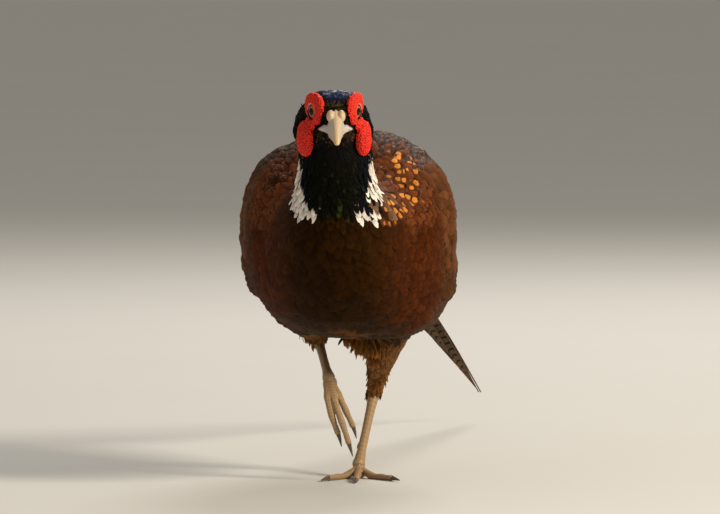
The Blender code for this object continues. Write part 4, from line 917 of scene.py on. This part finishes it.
def make_wings(ground, lie, material):
    """Flight feathers and coverts of the folded wings, in rows that overlap like tiles."""
    for name, side in (("wing_left", 1), ("wing_right", -1)):
        coats, looks = [], []
        for y, first, last, step, length, width, up, level, kind in WING_ROWS:
            turns = np.arange(first, last, step)
            count = len(turns)
            share = (turns - first) / max(last - first, 1)
            back = {"primary": 16.0, "secondary": -10.0, "greater": -9.0}.get(kind, -12.0) * share
            if kind in ("tertial", "scapular"):
                back = 0.0 * share
            outside = wing_root(y, turns + rng.normal(0, 0.5, count), side)
            uneven = 3.4 if kind in ("median", "lesser") else 1.6
            outside[:, 1] += back * MM + rng.normal(0, uneven, count) * MM
            roots = ground.nearest(outside)[0]
            lengths = length * MM * rng.uniform(0.94, 1.05, count) * (1 - 0.16 * share)
            widths = width * MM * rng.uniform(0.94, 1.05, count)
            lift = np.full(count, 0.9 * MM) * rng.uniform(0.7, 1.3, count)
            turn = side * (up + rng.normal(0, 0.02, count))
            high = level * MM + 0.6 * MM * share
            if kind == "scapular" and side > 0:
                high = high * smooth(40, 58, turns)
            coat = Coat(LONG_TIP, 7)
            coat.lay(ground, lie, roots, (lengths, widths), lift, turn, fray=0.012, cup=0.3,
                     sink=level * MM + 1.6 * MM, level=high)
            coats.append(coat)
            looks.append(wing_looks(kind, lengths))
        whole = Coat(LONG_TIP, 7)
        whole.points = np.concatenate([coat.points for coat in coats])
        whole.count = len(whole.points)
        merged = {key: np.concatenate([look[key] for look in looks]) for key in looks[0]}
        whole.mesh(name + "_feathers", None, merged, material, "wing_feather")


def wing_looks(kind, lengths):
    """Colours and marks for a row of wing feathers."""
    ground, edge, spot, (band, size, shaft, metal, roughness, bar) = WING_LOOKS[kind]
    count = len(lengths)
    tone = rng.uniform(0.82, 1.18, (count, 1))
    bars = lengths * rng.uniform(0.80, 1.20, count) / bar / BAR_LIMIT if bar else np.zeros(count)
    marks = np.tile((band, size, shaft), (count, 1))
    if kind in ("median", "lesser"):
        marks[:, 1] *= rng.uniform(0.0, 1.0, count) ** 1.5  # dark tips on some of them
    return {
        "ground": np.array(ground) * tone, "edge": np.array(edge) * tone, "spot": np.array(spot) * tone,
        "marks": marks,
        "finish": np.stack([np.full(count, metal), np.full(count, roughness), bars], axis=1),
    }


def tail_route(length, steps, turn=0.0, out=0.0, low=0.0):
    """Points, side and top directions along a tail feather that starts at the rump."""
    reach = length * np.asarray(steps, float)
    root = trunk_to_world(TAIL_ROOT)
    drop = TAIL_DROP_ROOT + (TAIL_DROP_TIP - TAIL_DROP_ROOT) * reach / TAIL_LENGTH / 2
    level = np.array([math.sin(TAIL_YAW), math.cos(TAIL_YAW), 0.0])
    side = np.array([math.cos(TAIL_YAW), -math.sin(TAIL_YAW), 0.0])
    sides = np.tile(side, (len(reach), 1))
    along = np.cos(drop)[:, None] * level - np.sin(drop)[:, None] * UP
    tops = np.cross(sides, along)
    across = (out + reach * math.sin(turn)) * np.ones_like(reach)
    points = root + along * (reach * math.cos(turn))[:, None] + sides * across[:, None]
    return points - tops * (low * np.ones_like(reach))[:, None], sides, tops


def make_tail(material):
    """Barred flight feathers of the tail, and the coverts over and under their base."""
    steps = np.linspace(RECTRIX_STATIONS[0][0], 1.0, 42)
    shares = np.interp(steps, *np.transpose(RECTRIX_STATIONS))
    shares[1:-1] = (shares[:-2] + 2 * shares[1:-1] + shares[2:]) / 4
    shares[-1] = 0.05
    routes, widths, lengths = [], [], []
    slope = math.tan(TAIL_ROOF)
    for pair, (length, width) in enumerate(zip(TAIL_PAIR_LENGTHS, TAIL_HALF_WIDTHS)):
        for side in (1, -1):
            turn, half = TAIL_PAIR_SPREAD * pair, width * MM * shares
            out = (width * MM - RECTRIX_HUG * (width * MM - half)) * math.cos(TAIL_ROOF)
            out += TAIL_PAIR_STEP * pair - TAIL_RIDGE
            low = TAIL_LAYER * pair + (out + length * MM * steps * math.sin(turn)) * slope
            low = low - (0.3 * MM if side > 0 else 0.0)
            points, sides, tops = tail_route(length * MM, steps, side * turn, side * out, low)
            across = math.cos(TAIL_ROOF) * sides - side * math.sin(TAIL_ROOF) * tops
            normals = math.cos(TAIL_ROOF) * tops + side * math.sin(TAIL_ROOF) * sides
            routes.append((points, across, normals))
            widths.append(width * MM)
            lengths.append(length * MM)
    points, across, normals = (np.array(part) for part in zip(*routes))
    coat = Coat(np.stack([steps, shares], axis=1), 9)
    coat.free(points, across, normals, np.array(widths), np.full(len(widths), 0.9 * MM), fray=0.05)
    count = len(widths)
    tone = rng.uniform(0.85, 1.12, (count, 1))
    coat.mesh("tail_flight", None, {
        "ground": np.array((0.135, 0.088, 0.040)) * tone, "edge": np.array((0.130, 0.070, 0.048)) * tone,
        "spot": np.array((0.012, 0.009, 0.007)) * tone, "marks": np.tile((0.28, 0.0, 0.15), (count, 1)),
        "finish": np.stack([np.full(count, 0.02), np.full(count, 0.6),
                            np.array(lengths) / RECTRIX_BAR / BAR_LIMIT], axis=1),
    }, material, "tail_feather", "tail")
    make_tail_coverts(material)


def make_tail_coverts(material):
    """Long loose feathers over, beside and under the root of the tail."""
    outline = np.array(LONG_TIP)
    steps = outline[:, 0]
    routes, widths, tones = [], [], []
    for row, (count, length, lift, spread) in enumerate(
            ((11, 112.0, 13.0, 26.0), (13, 86.0, 20.0, 27.0), (17, 66.0, 28.0, 31.0))):
        begun = steps - (0.0, 0.05, 0.16)[row]  # the upper rows start on the rump
        for place in np.linspace(-1, 1, count):
            reach = length * MM * (1 - 0.22 * abs(place)) * rng.uniform(0.92, 1.06)
            arch = (62, 78, 104)[row] * place * rng.uniform(0.97, 1.03)
            c, s = math.cos(math.radians(arch)), math.sin(math.radians(arch))
            wide = spread * MM * s * (1 - 0.42 * steps)
            high = lift * MM * (c * (1 - 0.62 * steps) - 0.35 * (1 - 0.5 * steps))
            points, sides, tops = tail_route(reach, begun, 0.0, wide, -high)
            across = c * sides - s * tops
            normals = c * tops + s * sides
            routes.append((points, across, normals))
            widths.append(rng.uniform(6.0, 7.5) * MM)
            tones.append(abs(place))
    for place in np.linspace(-1, 1, 9):
        reach = 88.0 * MM * rng.uniform(0.9, 1.05)
        wide = 17 * MM * place * (1 - 0.5 * steps)
        high = -19.0 * MM * (1 - 0.50 * steps) + 4 * MM * place**2
        points, sides, tops = tail_route(reach, steps - 0.1, 0.0, wide, -high)
        routes.append((points, sides, -tops))
        widths.append(7.0 * MM)
        tones.append(2.0)
    points, across, normals = (np.array(part) for part in zip(*routes))
    count = len(widths)
    coat = Coat(outline, 7)
    coat.free(points, across, normals, np.array(widths), np.full(count, 1.2 * MM), fray=0.10)
    tones = np.array(tones)
    ground = mixed((0.120, 0.125, 0.100), (0.20, 0.075, 0.026), smooth(0.35, 0.8, tones))
    ground = mixed(ground, (0.045, 0.022, 0.012), smooth(1.5, 1.9, tones))
    coat.mesh("tail_coverts", None, {
        "ground": ground, "edge": ground * 1.5, "spot": ground * 0.4,
        "marks": np.tile((0.3, 0.3, 0.3), (count, 1)), "finish": np.tile((0.05, 0.6, 0.0), (count, 1)),
    }, material, "tail_feather")


def make_loose_feathers(ground, material):
    """Soft feathers that hang free: under the belly between the legs, and over the ankles."""
    outline = np.array(NARROW_TIP)
    steps = outline[:, 0][:, None]
    routes, widths, tones = [], [], []
    for low, high, count, way, length, spread in LOOSE_TUFTS:
        wide = rng.uniform(low, high, (count, 3)) * MM
        roots, normals = ground.nearest(wide)
        for root, normal in zip(roots, normals):
            fall = unit(unit(way) + 0.25 * normal + rng.normal(0, spread, 3))
            reach = length * MM * rng.uniform(0.75, 1.2)
            sag = -UP * reach * 0.18
            points = root - normal * 0.8 * MM + fall * reach * steps + sag * steps**2
            along = unit(np.gradient(points, axis=0))
            across = unit(np.cross(along, unit(normal + rng.normal(0, 0.2, 3))))
            routes.append((points, across, np.cross(across, along)))
            widths.append(rng.uniform(0.9, 1.7) * MM)
            tones.append(rng.uniform(0.5, 1.25))
    points, across, normals = (np.array(part) for part in zip(*routes))
    count = len(widths)
    coat = Coat(outline, 3)
    coat.free(points, across, normals, np.array(widths), np.full(count, 0.3 * MM), fray=0.25)
    base = np.array((0.165, 0.066, 0.016)) * np.array(tones)[:, None]
    coat.mesh("loose_feathers", None, {
        "ground": base, "edge": base * 1.7, "spot": base, "marks": np.tile((0.2, 0.0, 0.4), (count, 1)),
        "finish": np.tile((0.0, 0.75, 0.0), (count, 1)),
    }, material, "leg_feather")


def make_ear_tufts(material):
    """Narrow dark feathers that stand off behind each eye."""
    outline = np.array(NARROW_TIP)
    steps = outline[:, 0][:, None]
    routes, widths = [], []
    for side in (1, -1):
        for _ in range(30):
            root = np.array(EAR_ROOT) + rng.normal(0, 1.0, 3) * (2.0, 0.5, 1.8)
            tip = np.array(EAR_TIP) + rng.normal(0, 1.0, 3) * (2.0, 1.2, 2.2) + (0, 0, 1.2)
            bend = (root + tip) / 2 + (0.0, 1.6, -0.6)
            line = root * (1 - steps) ** 2 + 2 * bend * steps * (1 - steps) + tip * steps**2
            line[:, 1] *= side
            points = head_to_world(line * MM)
            way = unit(np.gradient(points, axis=0))
            lean = unit(rng.normal(0, 1.0, 3) + side * 2.0 * head_axes()[1])
            across = unit(np.cross(lean, way))
            routes.append((points, across, unit(np.cross(way, across))))
            widths.append(rng.uniform(1.0, 1.5) * MM)
    points, across, normals = (np.array(part) for part in zip(*routes))
    count = len(widths)
    coat = Coat(outline, 3)
    coat.free(points, across, normals, np.array(widths), np.full(count, 0.2 * MM))
    ground = np.tile((0.006, 0.010, 0.022), (count, 1)) * rng.uniform(0.6, 1.5, (count, 1))
    coat.mesh("ear_tufts", None, {
        "ground": ground, "edge": ground * 0.6, "spot": ground, "marks": np.tile((0.2, 0.0, 0.0), (count, 1)),
        "finish": np.tile((0.4, 0.4, 0.0), (count, 1)),
    }, material, "head_feather")


def nearest_gap(points, seeds):
    """Distance from each point to the nearest seed."""
    tree = KDTree(len(seeds))
    for i, seed in enumerate(seeds.tolist()):
        tree.insert(seed, i)
    tree.balance()
    return np.array([tree.find(point)[2] for point in points.tolist()])


def moved(obj, points):
    obj.data.vertices.foreach_set("co", np.asarray(points, np.float32).ravel())
    obj.data.update()


def make_wattles():
    """Red bare skin of the face, all over small round papillae, with the eyelids let into it."""
    g = Graph("wattle")
    height = g.attribute("height")
    ground = g.attribute("ground", "Color")
    # Painted shade: where height is low, in the pits between the papillae, the red is painted darker; the papillae's
    # tops keep the full red.
    colour = g.mix(g.step(height, 0.15, 0.95), g.mix(0.62, ground, (0.160, 0.003, 0.002)), ground)
    colour = g.mix(g.step(g.noise(230.0, 3.0), 0.45, 0.75, 0.0, 0.40), colour, (0.50, 0.012, 0.008))
    material = g.finish(Base_Color=colour, Roughness=0.45, Specular_IOR_Level=0.22, Subsurface_Weight=0.08, Subsurface_Scale=1.0 * MM,
                        Subsurface_Radius=(1.0, 0.25, 0.15), Normal=g.bump(g.noise(1900.0, 2.0), 0.25, 0.1 * MM))
    for name, side in (("wattle_left", 1), ("wattle_right", -1)):
        obj = remeshed(name + "_skin", [name], WATTLE_VOXEL, 5)
        points, normals = points_of(obj), normals_of(obj)
        ground = Ground(obj)
        seeds = ground.scatter(26000)
        seeds = seeds[thinned(seeds, np.arange(len(seeds)), np.full(len(seeds), PAPILLA_SPACING))]
        gap = nearest_gap(points, seeds) / (0.62 * PAPILLA_SPACING)
        height = np.sqrt(np.clip(1 - gap**2, 0, 1))
        ball = middle_of("eye_left" if side > 0 else "eye_right")
        axis = unit(EYE_AXIS) * (1, side, 1) @ head_axes()
        out = points - ball
        ahead = out @ axis
        off = np.linalg.norm(out - ahead[:, None] * axis, axis=1)
        lid = smooth(LID_REACH + LID_WIDTH + 0.4 * MM, LID_REACH + LID_WIDTH - 0.4 * MM, off) * (ahead > 0)
        # Painted highlight: the upper half of each lid is painted pale pink; the lower half is dark, and the edge next
        # to the eye darker still.
        upper = smooth(-1.0, 1.5, (out @ head_axes()[2]) / MM)
        red = np.tile((0.95, 0.030, 0.009), (len(points), 1))
        lid_tone_and_highlight = mixed((0.030, 0.020, 0.022), (0.62, 0.44, 0.42), upper)
        rim = smooth(LID_REACH + 0.9 * MM, LID_REACH + 0.5 * MM, off)
        lid_tone_and_highlight = mixed(lid_tone_and_highlight, (0.015, 0.012, 0.014), rim * (1 - 0.55 * upper))
        paint(obj, "ground", mixed(red, lid_tone_and_highlight, lid))
        # height also sets the painted shade between the papillae; the lids are kept free of it.
        paint(obj, "height", np.maximum(height, lid))
        moved(obj, points + normals * (height * PAPILLA_HEIGHT * (1 - lid) - 0.15 * MM)[:, None])
        spread_map(obj)
        dressed(obj, material, "wattle", name)


def spread_map(obj):
    """A bake map for a small piece: its sides laid out by their height and depth."""
    points = points_of(obj)
    low, high = points.min(axis=0), points.max(axis=0)
    size = (high - low).max()
    layer = obj.data.uv_layers.new(name="OFBake")
    corners = np.empty(len(obj.data.loops), np.int32)
    obj.data.loops.foreach_get("vertex_index", corners)
    flat = (points[corners] - low) / size
    layer.data.foreach_set("uv", np.clip(flat[:, [1, 2]], 0, 1).astype(np.float32).ravel())


def middle_of(node):
    """The middle of a node's box."""
    points = points_of(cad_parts[node])
    return (points.min(axis=0) + points.max(axis=0)) / 2


def make_eyes():
    """Orange iris round a black pupil, under a clear wet surface."""
    g = Graph("eye")
    angle = g.attribute("angle")
    fibre = g.noise(520.0, 3.0)
    iris = g.mix(fibre, (0.38, 0.055, 0.006), (0.72, 0.19, 0.022))
    iris = g.mix(g.step(angle, IRIS_ANGLE - 9, IRIS_ANGLE - 1), iris, (0.11, 0.016, 0.005))
    colour = g.mix(g.step(angle, PUPIL_ANGLE - 1.0, PUPIL_ANGLE + 1.2), (0.002, 0.002, 0.003), iris)
    colour = g.mix(g.step(angle, IRIS_ANGLE, IRIS_ANGLE + 2), colour, (0.006, 0.004, 0.004))
    material = g.finish(Base_Color=colour, Roughness=0.5, Specular_IOR_Level=0.0, Coat_Weight=0.7, Coat_Roughness=0.02,
                        Coat_IOR=1.38)
    for name, side in (("eye_left", 1), ("eye_right", -1)):
        ball = bmesh.new()
        bmesh.ops.create_uvsphere(ball, u_segments=64, v_segments=48, radius=EYE_RADIUS)
        bmesh.ops.triangulate(ball, faces=ball.faces)
        mesh = bpy.data.meshes.new(name + "_ball")
        ball.to_mesh(mesh)
        ball.free()
        mesh.shade_smooth()
        obj = bpy.data.objects.new(name + "_ball", mesh)
        bpy.context.scene.collection.objects.link(obj)
        points = points_of(obj)
        axis = unit(EYE_AXIS) * (1, side, 1) @ head_axes()
        paint(obj, "angle", np.degrees(np.arccos(np.clip(unit(points) @ axis, -1, 1))))
        moved(obj, points + middle_of(name))
        spread_map(obj)
        dressed(obj, material, "eye", name)


def make_bill():
    """Smooth horn: cream on the nostril lobes and the ridge, greyer on the sides."""
    g = Graph("bill")
    grain = g.noise(420.0, 4.0)
    colour = g.mix(g.math("MULTIPLY", grain, 0.35), g.attribute("ground", "Color"), (0.42, 0.30, 0.20))
    material = g.finish(Base_Color=colour, Roughness=0.38, Subsurface_Weight=0.10, Subsurface_Scale=1.5 * MM,
                        Normal=g.bump(grain, 0.18, 0.25 * MM))
    for name in ("bill_upper", "bill_lower"):
        lips = []
        if name == "bill_upper":
            for side in (1, -1):
                middle = head_to_world(np.array(LIP) * (1, side, 1) * MM)
                lips.append(ball_of(middle, head_axes(), np.array(LIP_SIZE) * MM))
        obj = remeshed(name + "_horn", [name], BILL_VOXEL, 7, more=lips)
        forward, left, up = world_to_head(points_of(obj)).T / MM
        if lips:
            outer = smooth(*LIP_TAPER_OVER, np.abs(left))
            slim = LIP[2] + (up - LIP[2]) * (1 - LIP_TAPER * outer) - LIP_DROOP * outer
            up = np.where((forward < LIP_END) & (up < LIP_TOP), slim, up)
            moved(obj, head_to_world(np.stack([forward, left, up], axis=1) * MM))
        left = np.abs(left)
        cream, grey = (0.70, 0.52, 0.33), (0.56, 0.52, 0.47)
        sides = smooth(1.6, 4.2, left) * smooth(42, 34, forward) + smooth(4.0, 0.5, left) * smooth(
            31, 27, forward) * smooth(20, 24, forward) * 0.8
        lobe = smooth(-3.5, -1.0, up) * smooth(30, 27, forward)
        colours = mixed(cream, grey, np.clip(sides, 0, 1) * (1 - lobe))
        colours = mixed(colours, (0.72, 0.50, 0.22), smooth(38, 44, forward) * 0.7)
        colours = mixed(colours, (0.50, 0.30, 0.12), smooth(14, 8, forward) * smooth(-6, -9, up) * 0.7)
        paint(obj, "ground", colours)
        spread_map(obj)
        dressed(obj, material, "bill", name)


def make_legs():
    """Bare shanks and toes with rows of scales."""
    g = Graph("leg")
    grain = g.noise(650.0, 3.0)
    colour = g.mix(g.math("MULTIPLY", grain, 0.5), g.attribute("ground", "Color"), (0.28, 0.17, 0.10))
    material = g.finish(Base_Color=colour, Roughness=0.5, Normal=g.bump(grain, 0.3, 0.2 * MM))
    routes = [np.array(route, float) * MM for route in LEG_ROUTES]
    for name, nodes, chosen in (
        ("leg_left", ("shank_left", "foot_left"), range(0, 5)),
        ("leg_right", ("shank_right", "foot_right"), range(5, 10)),
    ):
        obj = remeshed(name + "_scales", nodes, LEG_VOXEL, 4, 0.15 * MM)
        points, normals = points_of(obj), normals_of(obj)
        best, along, facing = np.full(len(points), 9.0), np.zeros(len(points)), np.zeros(len(points))
        for index in chosen:
            done = 0.0
            for start, end in zip(routes[index][:-1], routes[index][1:]):
                way = end - start
                size = np.linalg.norm(way)
                share = np.clip((points - start) @ way / size**2, 0, 1)
                gap = np.linalg.norm(points - start - share[:, None] * way, axis=1)
                closer = gap < best
                shank = index in SHANK_ROUTES
                scute = (SHANK_SCUTE if shank else TOE_SCUTE) * MM
                front = np.array([0.0, -1.0, 0.2]) if shank else UP
                front = unit(front - unit(way) * (front @ unit(way)))
                if name == "leg_right" and not shank:
                    front = unit(np.array([0.0, -1.0, 0.3]) - unit(way) * (unit(way) @ [0.0, -1.0, 0.3]))
                along = np.where(closer, (done + share * size) / scute, along)
                facing = np.where(closer, normals @ front, facing)
                best = np.minimum(best, gap)
                done += size
        phase = (along + 0.5) % 1.0
        ridge = smooth(0.0, 0.16, phase) * (1 - 0.35 * phase)
        wrap = smooth(-0.15, 0.35, facing)
        grains = np.abs(np.sin(along * 12.0)) * (1 - wrap)
        moved(obj, points + normals * ((ridge * 0.40 * wrap + grains * 0.10 - 0.25) * MM)[:, None])
        colours = mixed((0.25, 0.145, 0.060), (0.44, 0.28, 0.125), wrap * ridge)
        colours = mixed(colours, (0.16, 0.085, 0.045), smooth(0.10, 0.0, phase) * wrap)
        paint(obj, "ground", colours)
        spread_map(obj)
        dressed(obj, material, "leg_skin", *nodes)


def make_claws():
    """Dark horn claws and spurs."""
    g = Graph("claw")
    grain = g.noise(900.0, 3.0)
    colour = g.mix(grain, (0.060, 0.036, 0.022), (0.150, 0.095, 0.058))
    material = g.finish(Base_Color=colour, Roughness=0.35, Normal=g.bump(grain, 0.15, 0.1 * MM))
    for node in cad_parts:
        if node.startswith(("claw", "spur")):
            obj = remeshed(node + "_horn", [node], CLAW_VOXEL, 4, 0.1 * MM)
            spread_map(obj)
            dressed(obj, material, "claw", node)


def make_stage():
    """Plain pale floor, soft light and the photograph's viewpoint."""
    disc = bmesh.new()
    bmesh.ops.create_circle(disc, cap_ends=True, segments=96, radius=FLOOR_RADIUS)
    mesh = bpy.data.meshes.new("floor")
    disc.to_mesh(mesh)
    disc.free()
    floor = bpy.data.objects.new("floor", mesh)
    bpy.context.scene.collection.objects.link(floor)
    g = Graph("floor")
    tone = g.mix(g.noise(3.0, 4.0), FLOOR_COLOUR, tuple(c * 0.96 for c in FLOOR_COLOUR))
    floor.data.materials.append(g.finish(Base_Color=tone, Roughness=0.9))

    world = bpy.data.worlds.new("studio")
    world.use_nodes = True
    background = world.node_tree.nodes["Background"]
    background.inputs[0].default_value = (*SKY_COLOUR, 1.0)
    background.inputs[1].default_value = SKY_STRENGTH
    bpy.context.scene.world = world

    for name, place, size, power, colour in STUDIO_LIGHTS:
        light = bpy.data.lights.new(name, "AREA")
        light.shape, light.size, light.energy, light.color = "DISK", size, power, colour
        lamp = bpy.data.objects.new(name, light)
        lamp.location = place
        lamp.rotation_euler = (Vector(LOOK_AT) - Vector(place)).to_track_quat("-Z", "Y").to_euler()
        lamp.visible_camera = False
        bpy.context.scene.collection.objects.link(lamp)

    camera = bpy.data.objects.new("camera", bpy.data.cameras.new("camera"))
    camera.data.sensor_width, camera.data.lens = SENSOR, SENSOR * FOCAL_PIXELS / PHOTO_WIDTH
    elevation = math.radians(CAMERA_ELEVATION)
    back = Vector((0.0, -math.cos(elevation), math.sin(elevation)))
    camera.location = Vector(LOOK_AT) + back * CAMERA_DISTANCE
    camera.rotation_euler = (-back).to_track_quat("-Z", "Y").to_euler()
    camera.data.clip_end = 3 * FLOOR_RADIUS
    bpy.context.scene.collection.objects.link(camera)
    bpy.context.scene.camera = camera
    bpy.context.scene.view_settings.view_transform = "Standard"


def main():
    plumes = plumage()
    skin = make_skin()
    dressed(skin, skin_material(), "body_feather", *SKIN_NODES)
    ground, lie = make_body_coat(skin, plumes)
    make_wings(ground, lie, plumes)
    make_tail(plumes)
    make_loose_feathers(ground, plumes)
    make_ear_tufts(plumes)
    make_wattles()
    make_eyes()
    make_bill()
    make_legs()
    make_claws()
    make_stage()


main()
